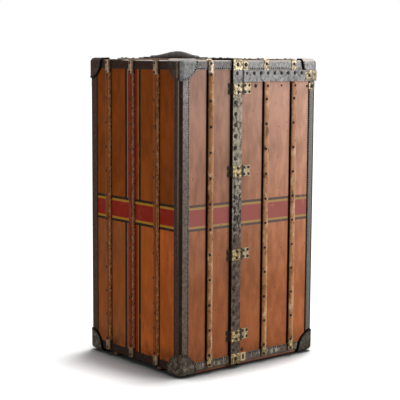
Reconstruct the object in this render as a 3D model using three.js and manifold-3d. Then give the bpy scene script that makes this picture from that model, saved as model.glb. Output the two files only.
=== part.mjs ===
import * as THREE from 'three';
import { mergeVertices } from 'three/addons/utils/BufferGeometryUtils.js';
import { RoundedBoxGeometry } from 'three/addons/geometries/RoundedBoxGeometry.js';
import Module from 'manifold-3d';

// Upright wardrobe trunk, in millimetres. X runs across both halves, Y from the lock side to the
// hinge side, Z up. The origin is on the floor under the middle of the closed trunk.

const wasm = await Module();
wasm.setup();

// Closed trunk
const bodyDepth = 645;
const bodyWidth = 543;
const bodyHeight = 1100;
const floorClearance = 16;
const drawerHalfDepth = 271;
const lidHeight = 70;
const seamGap = 1;
const lidGap = 0.6;
const wall = 10;
const seat = 0.3;
const overrun = 40;

// Fibre edging with its corner pieces
const edgingWall = 2.5;
const edgingWidth = 38;
const topEdgingWidth = 33;
const backEdgingWidth = 32;
const bottomEdgingWidth = 32;
const edgingRadius = 6;
const gussetRadius = 24;
const capReach = 71;
const capProud = 6;
const capRadius = 11;
const capDrop = 10;

// Slats and their brass ends
const slatWidth = 23;
const slatThickness = 13;
const slatSide = 7;
const slatFootInset = 9;
const topSlatThickness = 7;
const topSlatSide = 4;
const topSlatInset = 5;
const slatClampLength = 49;
const slatClampWall = 1.2;
const slatTabWall = 2;
const firstSlatShare = 0.4815;
const hangingSlatShares = { second: 0.33, third: 0.6987 };
const broadSlatSpacing = 146;
const broadSlatShift = -11.5;

// Studded strips along the seam and the lid
const stripWidth = 42;
const stripProud = 10;
const stripTopProud = 6.5;
const stripInset = 0.5;
const stripRadius = 9;
const lidStripHeight = 41;
const lidStripProud = 6.5;
const lidStripLap = 6;

// Hinges
const hingeHeight = 40;
const lowHingeHeight = 105;
const highHingeDrop = 24;
const hingeLevelShares = [0, 0.334, 0.671, 1];
const leafWall = 2;
const knuckleRadius = 5.5;
const knuckleReach = 6.5;
const knuckleGap = 0.4;
const mainKnuckles = 5;
const pinRadius = 2.5;
const pinClearance = 0.4;
const pinHeadRadius = 3.8;
const pinHeadHeight = 1.6;
const strapLeafFoot = 14;
const panelLeafReach = 38;
const leafNotch = 4;
const lidHingeLength = 360;
const lidKnuckles = 7;
const lidLeafReach = 22;

// Skid frames under the two halves
const skidInset = 9;
const skidWidth = 38;
const skidThickness = 11.7;
const skidEndInset = 72;
const skidSeamInset = 4;
const skidChamfer = 5;
const glideRadius = 14;
const glideInset = 25;
const rearGlideInset = 150;
const footRadius = 13;
const footInset = 21;
const footSpacing = 268;
const footBattenWidth = 22;

// Top handle and its keepers
const handlePlaceShare = 0.679;
const handleHalfLength = 178;
const handleArchInset = 44;
const handlePeak = 31;
const handleWidth = 26;
const strapThickness = 5;
const gripThickness = 13;
const keeperInset = 22;
const keeperLength = 20;
const keeperWall = 2;
const keeperSideClearance = 1.5;
const keeperPlay = 5;
const keeperFoot = 12;

// Drawer chest
const chestInset = 14;
const chestWall = 8;
const chestBack = 4;
const hatSpace = 240;
const drawerCount = 5;
const drawerClearance = 1;
const drawerTopClearance = 5;
const drawerWall = 7;
const drawerFrontWall = 12;
const drawerFloor = 5;
const drawerBackClearance = 5;
const drawerRim = 9;
const tabWidth = 34;
const tabLength = 52;
const tabThickness = 4;
const tabBossRadius = 7;
const tabBossHeight = 3;

// Hanger rail and trolley
const railDrop = 16;
const railTube = 10;
const railSpacing = 60;
const railPlateWall = 5;
const railPlateHeight = 70;
const railBeam = 12;
const railBeamHeight = 16;
const railFootHeight = 60;
const railFootWall = 4;
const rodDrop = 25;
const rodRadius = 6;
const shoeLength = 24;
const shoeWall = 6;
const shoeClearance = 0.6;
const webWidth = 10;
const rearShoeGap = 12.4;
const frontShoeShare = 0.3322;
const rodSetback = 35.5;
const pullRadius = 15;
const pullWire = 5;
const rodSides = 12;

// Coat hangers
const hangerPlaceShares = [0.1824, 0.5081, 0.697, 0.886];
const hangerThickness = 14;
const hangerHalfSpan = 205;
const hangerDrop = 58;
const hangerTip = 20;
const hangerNeck = 20;
const hangerMiddle = 34;
const hangerHump = 6;
const eyeBore = 7.2;
const eyeRadius = 11;
const eyeThickness = 6;
const shoulderShare = 0.42;

// Lock and latches on the side away from the hinges
const haspLevelShares = { low: 0.2345, middle: 0.5027, high: 0.7709 };
const haspPivotInset = 9;
const haspKnuckleRadius = 3.5;
const haspPinRadius = 1.6;
const haspPinClearance = 0.4;
const haspWall = 3;
const haspPlateReach = 28;
const haspPlateWall = 2;
const stapleDepth = 7;
const stapleWidth = 6;
const haspTipReach = 9;
const caseSeamInset = 6;
const notchClearance = 2;
const lockCaseLength = 56;
const lockCaseHeight = 74;
const latchCaseLength = 44;
const latchCaseHeight = 44;
const lockHaspHeight = 36;
const latchHaspHeight = 28;
const caseRadius = 8;
const haspPlateRadius = 4;

// Places worked out from the sizes above
const halfDepth = bodyDepth / 2;
const halfWidth = bodyWidth / 2;
const bottomZ = floorClearance;
const topZ = floorClearance + bodyHeight;
const panelX = halfDepth - edgingWall;
const panelY = halfWidth - edgingWall;
const panelBottomZ = bottomZ + edgingWall;
const panelTopZ = topZ - edgingWall;
const seamX = halfDepth - drawerHalfDepth;
const mouthX = seamX - seamGap;
const lidSeamZ = topZ - lidHeight;
const innerX = panelX - seat - wall;
const innerY = panelY - seat - wall;
const innerBottomZ = panelBottomZ + seat + wall;
const innerTopZ = panelTopZ - seat - wall;
const stripX = seamX + stripInset;
const lidStripBottom = lidSeamZ - lidStripLap;
const strapTop = seat + leafWall - knuckleRadius;
const axisProud = stripProud + strapTop;
const lidAxisProud = lidStripProud + strapTop;
const hingeX = stripX - knuckleReach;
const reachX = halfDepth + overrun;
const reachY = halfWidth + overrun;
const reachZ = [-overrun, topZ + overrun];

const upX = new THREE.Vector3(1, 0, 0);
const upY = new THREE.Vector3(0, 1, 0);
const upZ = new THREE.Vector3(0, 0, 1);

const fibre = () => new THREE.MeshStandardMaterial({ color: 0x4c463f, roughness: 0.6, metalness: 0.1 });
const canvas = () => new THREE.MeshStandardMaterial({ color: 0x9a5a30, roughness: 0.55, metalness: 0 });
const slatWood = () => new THREE.MeshStandardMaterial({ color: 0xa9774a, roughness: 0.6, metalness: 0 });
const skidWood = () => new THREE.MeshStandardMaterial({ color: 0x6e3a26, roughness: 0.7, metalness: 0 });
const innerWood = () => new THREE.MeshStandardMaterial({ color: 0xb08a5c, roughness: 0.65, metalness: 0 });
const brass = () => new THREE.MeshStandardMaterial({ color: 0xb08d4f, roughness: 0.35, metalness: 0.9 });
const steel = () => new THREE.MeshStandardMaterial({ color: 0x8b8c8c, roughness: 0.35, metalness: 0.9 });
const hide = () => new THREE.MeshStandardMaterial({ color: 0x2f2a24, roughness: 0.55, metalness: 0 });
const lining = () => new THREE.MeshStandardMaterial({ color: 0xb59a72, roughness: 0.85, metalness: 0 });

function solid(geometry) {
  const bare = new THREE.BufferGeometry();
  bare.setAttribute('position', geometry.getAttribute('position').clone());
  if (geometry.index) bare.setIndex(geometry.index.clone());
  const merged = mergeVertices(bare);
  const corners = merged.index.array;
  const triangles = [];
  for (let i = 0; i < corners.length; i += 3) {
    const [a, b, c] = corners.slice(i, i + 3);
    if (a !== b && b !== c && c !== a) triangles.push(a, b, c);
  }
  return new wasm.Manifold(new wasm.Mesh({
    numProp: 3,
    vertProperties: Float32Array.from(merged.getAttribute('position').array),
    triVerts: Uint32Array.from(triangles),
  }));
}

function geometryOf(body) {
  const { vertProperties, triVerts } = body.getMesh();
  const geometry = new THREE.BufferGeometry();
  geometry.setAttribute('position', new THREE.BufferAttribute(Float32Array.from(vertProperties), 3));
  geometry.setIndex(Array.from(triVerts));
  geometry.computeVertexNormals();
  return geometry;
}

// A block between two places along each axis
function block(x, y, z) {
  const geometry = new THREE.BoxGeometry(x[1] - x[0], y[1] - y[0], z[1] - z[0]);
  geometry.translate((x[0] + x[1]) / 2, (y[0] + y[1]) / 2, (z[0] + z[1]) / 2);
  return solid(geometry);
}

const plusMinus = (half) => [-half, half];

function extruded(shape, from, to, curveSegments = 3) {
  const options = { depth: to - from, bevelEnabled: false, curveSegments };
  return new THREE.ExtrudeGeometry(shape, options).translate(0, 0, from);
}

// The outline is drawn in (x, y), (y, z) or (z, x), and runs along the third axis
const alongZ = (shape, from, to, curveSegments) => solid(extruded(shape, from, to, curveSegments));

function alongX(shape, from, to, curveSegments) {
  const turn = new THREE.Matrix4().makeBasis(upY, upZ, upX);
  return solid(extruded(shape, from, to, curveSegments).applyMatrix4(turn));
}

function alongY(shape, from, to, curveSegments) {
  const turn = new THREE.Matrix4().makeBasis(upZ, upX, upY);
  return solid(extruded(shape, from, to, curveSegments).applyMatrix4(turn));
}

function outline(points) {
  return new THREE.Shape(points.map(([a, b]) => new THREE.Vector2(a, b)));
}

function roundedRectangle(a, b, radius) {
  const shape = new THREE.Shape();
  shape.absarc(a[1] - radius, b[0] + radius, radius, -Math.PI / 2, 0);
  shape.absarc(a[1] - radius, b[1] - radius, radius, 0, Math.PI / 2);
  shape.absarc(a[0] + radius, b[1] - radius, radius, Math.PI / 2, Math.PI);
  shape.absarc(a[0] + radius, b[0] + radius, radius, Math.PI, Math.PI * 1.5);
  shape.closePath();
  return shape;
}

// A round bar between two places along Z
function bar(radius, from, to, sides = 10) {
  const geometry = new THREE.CylinderGeometry(radius, radius, to - from, sides);
  geometry.rotateX(Math.PI / 2).translate(0, 0, (from + to) / 2);
  return geometry;
}

function named(name, body, material, position = [0, 0, 0]) {
  const geometry = body.isBufferGeometry ? body : geometryOf(body);
  const mesh = new THREE.Mesh(geometry, material);
  mesh.name = name;
  mesh.position.set(...position);
  return mesh;
}

// The closed trunk, from which both halves and the lid are cut as one sawn box
function trunkBox(growth, drop, radius, segments) {
  const geometry = new RoundedBoxGeometry(
    bodyDepth + 2 * growth, bodyWidth + 2 * growth, bodyHeight + growth + drop, segments, radius + growth);
  return solid(geometry.translate(0, 0, (bottomZ + topZ + growth - drop) / 2));
}

function panelBox(growth) {
  return block(plusMinus(panelX + growth), plusMinus(panelY + growth),
    [panelBottomZ - growth, panelTopZ + growth]);
}

// Openings that leave the edging as a border on each of the six faces
function windows(shrink) {
  const spanX = [backEdgingWidth + shrink - halfDepth, halfDepth - edgingWidth - shrink];
  const spanY = plusMinus(halfWidth - edgingWidth - shrink);
  const spanZ = [bottomZ + bottomEdgingWidth + shrink, topZ - topEdgingWidth - shrink];
  const radius = gussetRadius - shrink;
  const throughX = alongX(roundedRectangle(spanY, spanZ, radius), -bodyDepth, bodyDepth);
  const throughY = alongY(roundedRectangle(spanZ, spanX, radius), -bodyWidth, bodyWidth);
  const throughZ = alongZ(roundedRectangle(spanX, spanY, radius), -bodyHeight, 2 * bodyHeight);
  return throughX.add(throughY).add(throughZ);
}

function cornerSpheres(growth) {
  const corners = [];
  for (const x of plusMinus(halfDepth)) {
    for (const y of plusMinus(halfWidth)) {
      for (const z of [bottomZ, topZ]) {
        corners.push(solid(new THREE.SphereGeometry(capReach + growth, 20, 10).translate(x, y, z)));
      }
    }
  }
  return corners.reduce((all, sphere) => all.add(sphere));
}

// Corner pieces, which leave room for the strip that runs round the lid
function cornerCaps(growth) {
  const room = seat - growth;
  const lidStripRoom = block([-reachX, mouthX], plusMinus(reachY),
    [lidStripBottom - room, lidStripBottom + lidStripHeight + room]);
  return trunkBox(capProud + growth, capDrop + growth, capRadius, 3)
    .intersect(cornerSpheres(growth))
    .subtract(lidStripRoom);
}

function trunkEdging() {
  const frame = trunkBox(0, 0, edgingRadius, 2).subtract(windows(0));
  return frame.add(cornerCaps(0)).subtract(panelBox(0));
}

// What the trunk's outer trims sit on, grown by the seat between touching pieces
function trunkEnvelope() {
  const frame = trunkBox(seat, seat, edgingRadius, 2).subtract(windows(seat));
  return frame.add(cornerCaps(seat)).add(panelBox(seat));
}

const envelope = trunkEnvelope();
const drawerRegion = block([seamX, reachX], plusMinus(reachY), reachZ);
const hangingRegion = block([-reachX, mouthX], plusMinus(reachY), [reachZ[0], lidSeamZ]);
const lidRegion = block([-reachX, mouthX], plusMinus(reachY), [lidSeamZ + lidGap, reachZ[1]]);

// Cuts away from a placed piece whatever it sits on, so that it rests there with the seat's gap
function seatOn(mesh, carrier) {
  mesh.updateMatrix();
  const placed = mesh.geometry.clone().applyMatrix4(mesh.matrix);
  mesh.geometry = geometryOf(solid(placed).subtract(carrier)).applyMatrix4(mesh.matrix.clone().invert());
  return mesh;
}

function trunkShell() {
  const hollow = block(plusMinus(innerX), plusMinus(innerY), [innerBottomZ, innerTopZ]);
  return panelBox(-seat).subtract(hollow);
}

// Slats: crowned battens whose ends lie under sheet brass
const slatSegments = 4;

function slatShape(side, thickness, growth) {
  const half = slatWidth / 2 + growth;
  const shape = new THREE.Shape();
  shape.moveTo(half, 0);
  shape.lineTo(half, side);
  shape.absellipse(0, side, half, thickness - side + growth, 0, Math.PI);
  shape.lineTo(-half, 0);
  shape.closePath();
  return shape;
}

function slat(side, thickness, length, clampAtEnd) {
  const clamp = slatShape(side, thickness, slatClampWall);
  let body = alongZ(slatShape(side, thickness, 0), 0, length, slatSegments);
  body = body.add(alongZ(clamp, 0, slatClampLength, slatSegments));
  if (clampAtEnd) body = body.add(alongZ(clamp, length - slatClampLength, length, slatSegments));
  return body;
}

function sideSlat(name, position, turn, top, clampAtEnd) {
  const bottom = bottomZ + slatFootInset;
  const body = slat(slatSide, slatThickness, top - bottom, clampAtEnd);
  const mesh = named(name, body, slatWood(), [...position, bottom]);
  mesh.rotation.z = turn;
  return seatOn(mesh, envelope);
}

// A slat across the top, from one side edge to the other
function topSlat(name, x, tabDrop) {
  const half = halfWidth - topSlatInset;
  let body = slat(topSlatSide, topSlatThickness, 2 * half, true);
  if (tabDrop) {
    const width = plusMinus(slatWidth / 2);
    const height = [-tabDrop, topSlatThickness - slatTabWall];
    const reach = topSlatInset + slatTabWall;
    body = body.add(block(width, height, [-reach, topSlatInset]));
    body = body.add(block(width, height, [2 * half - topSlatInset, 2 * half + reach]));
  }
  const mesh = named(name, body, slatWood(), [x, half, panelTopZ]);
  mesh.rotation.x = Math.PI / 2;
  return seatOn(mesh, envelope);
}

// Studded strip along the drawer half's side of the seam, up one side, over the top and down
function seamStrip() {
  const reach = halfWidth + stripProud;
  const top = topZ + stripTopProud;
  const shape = new THREE.Shape();
  shape.moveTo(-reach, bottomZ);
  shape.lineTo(reach, bottomZ);
  shape.absarc(reach - stripRadius, top - stripRadius, stripRadius, 0, Math.PI / 2);
  shape.absarc(stripRadius - reach, top - stripRadius, stripRadius, Math.PI / 2, Math.PI);
  shape.closePath();
  const openBottom = block(plusMinus(halfDepth), plusMinus(halfWidth + seat), [0, panelBottomZ]);
  const strip = alongX(shape, stripX, stripX + stripWidth).subtract(envelope).subtract(openBottom);
  return named('seam_strip', strip, fibre());
}

function lidStrip() {
  const reachBack = -halfDepth - lidStripProud;
  const reachSide = halfWidth + lidStripProud;
  const front = hingeX - knuckleRadius;
  const shape = new THREE.Shape();
  shape.moveTo(front, -reachSide);
  shape.lineTo(front, reachSide);
  shape.absarc(reachBack + stripRadius, reachSide - stripRadius, stripRadius, Math.PI / 2, Math.PI);
  shape.absarc(reachBack + stripRadius, stripRadius - reachSide, stripRadius, Math.PI, Math.PI * 1.5);
  shape.closePath();
  const strip = alongZ(shape, lidStripBottom, lidStripBottom + lidStripHeight).subtract(envelope);
  return named('lid_strip', strip, fibre());
}

// Hinge leaves in the hinge's own frame: the axis is Z, the strip lies towards +X, +Y is outwards
const stripFace = -strapTop;
const panelFace = (proud) => -proud - edgingWall;

function knuckleSpans(length, count, first) {
  const pitch = length / count;
  const spans = [];
  for (let i = first; i < count; i += 2) {
    spans.push([i * pitch + knuckleGap / 2, (i + 1) * pitch - knuckleGap / 2]);
  }
  return spans;
}

// A bite out of the middle of a leaf's end
function leafBite(x, length) {
  const cut = new THREE.CylinderGeometry(leafNotch, leafNotch, 2 * overrun, 8);
  return solid(cut.translate(x, 0, length / 2));
}

// Leaf that lies on the strip, and where it has a foot, steps down to the panel behind it
function strapLeaf(length, knuckles, proud, reach, foot) {
  const start = knuckleRadius + knuckleGap;
  const under = stripFace + seat;
  const over = under + leafWall;
  const step = knuckleReach + stripWidth + seat;
  const panel = panelFace(proud) + seat;
  const points = foot
    ? [[start, over], [start, under], [step, under], [step, panel], [step + foot, panel],
      [step + foot, panel + leafWall], [step + leafWall, panel + leafWall], [step + leafWall, over]]
    : [[start, over], [start, under], [start + reach, under], [start + reach, over]];
  let body = alongZ(outline(points), 0, length);
  if (foot) body = body.subtract(leafBite(step + foot, length));
  for (const span of knuckleSpans(length, knuckles, 0)) {
    body = body.add(solid(bar(knuckleRadius, ...span)));
    body = body.add(block([0, start + leafWall], [under, over], span));
  }
  return body.subtract(solid(bar(pinRadius + pinClearance, -overrun, length + overrun)));
}

// Leaf that lies on the panel and carries the pin
function panelLeaf(length, knuckles, proud, reach, notched) {
  const panel = panelFace(proud) + seat;
  const riser = [-knuckleRadius, leafWall - knuckleRadius];
  let body = block([-knuckleRadius - reach, riser[1]], [panel, panel + leafWall], [0, length]);
  if (notched) body = body.subtract(leafBite(-knuckleRadius - reach, length));
  body = body.subtract(solid(bar(knuckleRadius + knuckleGap, -overrun, length + overrun)));
  for (const span of knuckleSpans(length, knuckles, 1)) {
    body = body.add(solid(bar(knuckleRadius, ...span)));
    body = body.add(block(riser, [panel, 0], span));
  }
  const headMiddle = seat + pinHeadHeight / 2;
  body = body.add(solid(bar(pinRadius, -headMiddle, length + headMiddle)));
  body = body.add(solid(bar(pinHeadRadius, -seat - pinHeadHeight, -seat)));
  return body.add(solid(bar(pinHeadRadius, length + seat, length + seat + pinHeadHeight)));
}

// Skid frames: two runners under the side edges, tied by battens below the slats
function skidFrame(x, battenPlaces, glidePlaces) {
  const top = bottomZ - seat;
  const span = [top - skidThickness, top];
  const runner = outline([
    [x[0] + skidChamfer, span[0]], [x[1] - skidChamfer, span[0]], [x[1], span[0] + skidChamfer],
    [x[1], span[1]], [x[0], span[1]], [x[0], span[0] + skidChamfer]].map(([a, b]) => [b, a]));
  const outer = halfWidth - skidInset;
  let body = alongY(runner, outer - skidWidth, outer).add(alongY(runner, -outer, skidWidth - outer));
  for (const place of battenPlaces) {
    const width = [place - skidWidth / 2, place + skidWidth / 2];
    body = body.add(block(width, plusMinus(outer - skidWidth / 2), span));
  }
  for (const place of glidePlaces) {
    for (const y of plusMinus(outer - skidWidth / 2)) {
      body = body.add(dome(glideRadius, span[0] + seat, [place, y]));
    }
  }
  return body;
}

// Two feet under the broad face, each at the end of a batten
function footBattens(from) {
  const top = bottomZ - seat;
  const end = halfDepth - footInset;
  return plusMinus(footSpacing / 2).map((y) => {
    const width = [y - footBattenWidth / 2, y + footBattenWidth / 2];
    const batten = block([from, end], width, [top - skidThickness, top]);
    return batten.add(dome(footRadius, top, [end, y]));
  });
}

// A glide that stands on the floor, as a low dome turned upside down
function dome(radius, height, [x, y]) {
  const profile = [[0, 0], [radius / 2, 0], [radius, height / 2], [radius, height], [0, height]];
  const points = profile.map(([a, b]) => new THREE.Vector2(a, b));
  return solid(new THREE.LatheGeometry(points, 10).rotateX(Math.PI / 2).translate(x, y, 0));
}

// Handle: a leather strap that arches between two keepers
const handleBase = panelTopZ + seat;

const handleX = halfDepth - handlePlaceShare * drawerHalfDepth;
const keeperPlace = handleHalfLength - keeperInset;

function handleStrap() {
  const low = seat;
  const high = handlePeak + edgingWall;
  const archHalf = handleHalfLength - handleArchInset;
  const middle = archHalf / 2;
  const lift = low + strapThickness;
  const shape = new THREE.Shape();
  shape.moveTo(-handleHalfLength, low);
  shape.lineTo(-archHalf, low);
  shape.bezierCurveTo(-middle, low, -middle, high - gripThickness, 0, high - gripThickness);
  shape.bezierCurveTo(middle, high - gripThickness, middle, low, archHalf, low);
  shape.lineTo(handleHalfLength, low);
  shape.lineTo(handleHalfLength, lift);
  shape.lineTo(archHalf, lift);
  shape.bezierCurveTo(middle, lift, middle, high, 0, high);
  shape.bezierCurveTo(-middle, high, -middle, lift, -archHalf, lift);
  shape.lineTo(-handleHalfLength, lift);
  shape.closePath();
  const strap = alongX(shape, -handleWidth / 2, handleWidth / 2, 8);
  return named('top_handle', strap, hide(), [handleX, 0, handleBase]);
}

function handleKeeper(name, y) {
  const inner = handleWidth / 2 + keeperSideClearance;
  const height = seat + strapThickness + keeperPlay;
  const outer = inner + keeperWall;
  const foot = outer + keeperFoot;
  const points = [
    [-foot, 0], [-inner, 0], [-inner, height], [inner, height], [inner, 0], [foot, 0],
    [foot, keeperWall], [outer, keeperWall], [outer, height + keeperWall],
    [-outer, height + keeperWall], [-outer, keeperWall], [-foot, keeperWall]];
  const shape = outline(points.map(([x, z]) => [z, x]));
  const body = alongY(shape, -keeperLength / 2, keeperLength / 2);
  return named(name, body, brass(), [handleX, y, handleBase]);
}

// Drawer chest: bays below, open hat space on top
const chestFront = seamX + chestInset;
const chestEnd = innerX - seat;
const chestSide = innerY - seat;
const chestBottom = innerBottomZ + seat;
const chestTop = innerTopZ - seat;
const baySide = chestSide - chestWall;
const hatFloor = chestTop - chestWall - hatSpace;
const bayPitch = (hatFloor - chestBottom - chestWall) / drawerCount;
const bayHeight = bayPitch - chestWall;
const drawerHeight = bayHeight - drawerClearance - drawerTopClearance;
const drawerDepth = chestEnd - chestBack - drawerBackClearance - chestFront;
const bayFloor = (index) => chestBottom + chestWall + index * bayPitch;

function drawerChest() {
  let body = block([chestFront, chestEnd], plusMinus(chestSide), [chestBottom, chestTop]);
  const depth = [chestFront - overrun, chestEnd - chestBack];
  body = body.subtract(block(depth, plusMinus(baySide), [hatFloor, hatFloor + hatSpace]));
  for (let i = 0; i < drawerCount; i += 1) {
    body = body.subtract(block(depth, plusMinus(baySide), [bayFloor(i), bayFloor(i) + bayHeight]));
  }
  return named('drawer_chest', body, innerWood());
}

function drawer(index) {
  const half = baySide - drawerClearance;
  let body = block([0, drawerDepth], plusMinus(half), [0, drawerHeight]);
  const inside = [drawerFrontWall, drawerDepth - drawerWall];
  body = body.subtract(block(inside, plusMinus(half - drawerWall), [drawerFloor, bodyHeight]));
  const rim = [drawerFrontWall, drawerDepth + overrun];
  body = body.subtract(block(rim, plusMinus(bodyWidth), [drawerHeight - drawerRim, bodyHeight]));
  body = body.add(pullTab());
  return named(`drawer_${index + 1}`, body, lining(), [chestFront, 0, bayFloor(index) + drawerClearance]);
}

// Leather pull tab, held by a boss at its upper end
function pullTab() {
  const middle = drawerHeight / 2 + tabLength / 2;
  const tip = tabWidth / 2;
  const shape = new THREE.Shape();
  shape.moveTo(-tip, middle);
  shape.lineTo(-tip, middle - tabLength + tip);
  shape.absarc(0, middle - tabLength + tip, tip, Math.PI, Math.PI * 2);
  shape.lineTo(tip, middle);
  shape.closePath();
  const tab = alongX(shape, -tabThickness, drawerFrontWall / 2, 6);
  const boss = new THREE.CylinderGeometry(tabBossRadius, tabBossRadius, tabBossHeight + tabThickness, 12);
  boss.rotateZ(Math.PI / 2).translate(-tabThickness, 0, middle - tabBossRadius - tabThickness);
  return tab.add(solid(boss));
}

// Fixed rail: two tubes from the back wall to a beam across the mouth
const railSpan = plusMinus(railSpacing / 2);
const railHeight = lidSeamZ - railDrop;
const railBack = -innerX + seat;
const rodZ = railHeight - rodDrop;
const rodBack = railBack + railPlateWall + rearShoeGap;
const rodFront = mouthX - rodSetback;
const alongRod = (share) => rodBack + share * (rodFront - rodBack);

function tubeSection(centre, growth) {
  return [centre - railTube / 2 - growth, centre + railTube / 2 + growth];
}

function hangerRail() {
  const beam = [mouthX - railBeam - wall, mouthX - wall];
  const low = railHeight - railPlateHeight / 2;
  const cap = lidSeamZ - seat - railTube / 2;
  const plate = block([railBack, railBack + railPlateWall], plusMinus(railSpacing), [low, cap]);
  const side = innerY - seat;
  const height = [railHeight - railBeamHeight / 2, railHeight + railBeamHeight / 2];
  let body = plate.add(block(beam, plusMinus(side), height));
  for (const y of railSpan) {
    body = body.add(block([railBack, beam[1]], tubeSection(y, 0), tubeSection(railHeight, 0)));
  }
  for (const sign of plusMinus(1)) {
    const foot = [sign * side, sign * (side - railFootWall)].sort((a, b) => a - b);
    body = body.add(block([beam[0] - railFootHeight / 2, beam[1]], foot, [cap - railFootHeight, cap]));
  }
  return named('hanger_rail', body, steel());
}

// Trolley: a rod hung from two shoes that slide on the tubes, with a pull ring in front
function trolleyShoe(x) {
  const half = railSpacing / 2 + railTube / 2 + shoeWall;
  const outerZ = [railHeight - railTube / 2 - shoeWall, railHeight + railTube / 2 + shoeWall];
  const length = [x, x + shoeLength];
  let shoe = block(length, plusMinus(half), outerZ);
  shoe = shoe.add(block(length, plusMinus(webWidth / 2), [rodZ, outerZ[0] + shoeWall / 2]));
  const through = [x - overrun, x + shoeLength + overrun];
  for (const y of railSpan) {
    const hole = block(through, tubeSection(y, shoeClearance), tubeSection(railHeight, shoeClearance));
    shoe = shoe.subtract(hole);
  }
  return shoe;
}

function alongXBar(radius, from, to, z) {
  const geometry = new THREE.CylinderGeometry(radius, radius, to - from, rodSides);
  return solid(geometry.rotateZ(Math.PI / 2).translate((from + to) / 2, 0, z));
}

function hangerTrolley() {
  const pull = new THREE.TorusGeometry(pullRadius, pullWire / 2, 6, 14);
  pull.translate(rodFront + pullRadius, 0, rodZ);
  const body = alongXBar(rodRadius, rodBack, rodFront + pullWire / 2, rodZ)
    .add(trolleyShoe(rodBack))
    .add(trolleyShoe(alongRod(frontShoeShare)))
    .add(solid(pull));
  return named('hanger_trolley', body, steel());
}

// Hanger in its own frame, about the rod's axis
function coatHanger(name, place) {
  const shoulder = -eyeRadius - hangerNeck;
  const knee = hangerHalfSpan * shoulderShare;
  const tip = shoulder - hangerDrop;
  const shape = new THREE.Shape();
  shape.moveTo(0, shoulder + hangerHump);
  shape.quadraticCurveTo(knee, shoulder, hangerHalfSpan, tip);
  shape.lineTo(hangerHalfSpan, tip - hangerTip);
  shape.quadraticCurveTo(knee, shoulder - hangerMiddle, 0, shoulder - hangerMiddle);
  shape.quadraticCurveTo(-knee, shoulder - hangerMiddle, -hangerHalfSpan, tip - hangerTip);
  shape.lineTo(-hangerHalfSpan, tip);
  shape.quadraticCurveTo(-knee, shoulder, 0, shoulder + hangerHump);
  const arms = alongX(shape, -hangerThickness / 2, hangerThickness / 2, 6);
  const eye = alongXBar(eyeRadius, -eyeThickness / 2, eyeThickness / 2, 0);
  const stem = block(plusMinus(eyeThickness / 2), plusMinus(eyeThickness / 2), [shoulder, -eyeBore]);
  const bore = alongXBar(eyeBore, -overrun, overrun, 0);
  const body = arms.add(stem).add(eye).subtract(bore);
  return named(name, body, slatWood(), [place, 0, rodZ]);
}

// Lock side: each hasp turns on a plate on the strip and lies over a case on the deep half.
// In the pivot's frame +X runs from the strip over the seam, +Y is outwards, Z is the axis.
const haspAxisProud = stripProud + seat + haspKnuckleRadius;
const pivotX = stripX + haspPivotInset;
const haspUnder = -haspKnuckleRadius;
const caseStart = pivotX - mouthX + caseSeamInset;

function onLockSide(name, body, material, share) {
  const level = bottomZ + share * bodyHeight;
  const mesh = named(name, body, material, [pivotX, -halfWidth - haspAxisProud, level]);
  mesh.rotation.z = Math.PI;
  return mesh;
}

// A sheet drawn in (x, z), lying between two depths
function sheet(shape, from, to, curveSegments) {
  const turn = new THREE.Matrix4().makeBasis(upX, upZ, upY.clone().negate());
  return solid(extruded(shape, -to, -from, curveSegments).applyMatrix4(turn));
}

function haspPlate(name, height, share) {
  const half = height / 2;
  const shape = roundedRectangle([-haspPlateReach, 0], plusMinus(half), haspPlateRadius);
  let body = sheet(shape, haspUnder, haspUnder + haspPlateWall);
  body = body.subtract(solid(bar(haspKnuckleRadius + knuckleGap, -half / 2, half / 2)));
  for (const span of [[-half, -half / 2], [half / 2, half]]) {
    body = body.add(solid(bar(haspKnuckleRadius, ...span)));
  }
  body = body.subtract(solid(bar(haspPinRadius + haspPinClearance, -overrun, overrun)));
  return onLockSide(name, body, brass(), share);
}

function hasp(name, height, caseLength, share) {
  const half = height / 2;
  const tongue = half / 2 - knuckleGap;
  const neck = haspKnuckleRadius + knuckleGap;
  const middle = caseStart + caseLength / 2;
  const end = middle + haspTipReach;
  const shape = new THREE.Shape();
  shape.moveTo(0, -tongue);
  shape.lineTo(neck, -tongue);
  shape.lineTo(neck, -half);
  shape.absarc(end - half, 0, half, -Math.PI / 2, Math.PI / 2);
  shape.lineTo(neck, half);
  shape.lineTo(neck, tongue);
  shape.lineTo(0, tongue);
  shape.closePath();
  const staple = [middle - stapleWidth / 2, middle + stapleWidth / 2];
  const body = sheet(shape, haspUnder, haspUnder + haspWall, 5)
    .add(solid(bar(haspKnuckleRadius, -tongue, tongue)))
    .add(solid(bar(haspPinRadius, -half, half)))
    .add(block(staple, [haspUnder - stapleDepth, haspUnder + haspWall / 2], plusMinus(stapleWidth / 2)));
  return onLockSide(name, body, brass(), share);
}

// Case on the panel, with a notch for the staple that opens towards the seam
function lockCase(name, length, height, share) {
  const top = haspUnder - seat;
  const base = -haspAxisProud - edgingWall + seat;
  const shape = roundedRectangle([caseStart, caseStart + length], plusMinus(height / 2), caseRadius);
  const notchEnd = caseStart + length / 2 + stapleWidth / 2 + notchClearance;
  const notch = block([caseStart - overrun, notchEnd], [haspUnder - stapleDepth - notchClearance, overrun],
    plusMinus(stapleWidth / 2 + notchClearance));
  return onLockSide(name, sheet(shape, base, top).subtract(notch), brass(), share);
}

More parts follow.
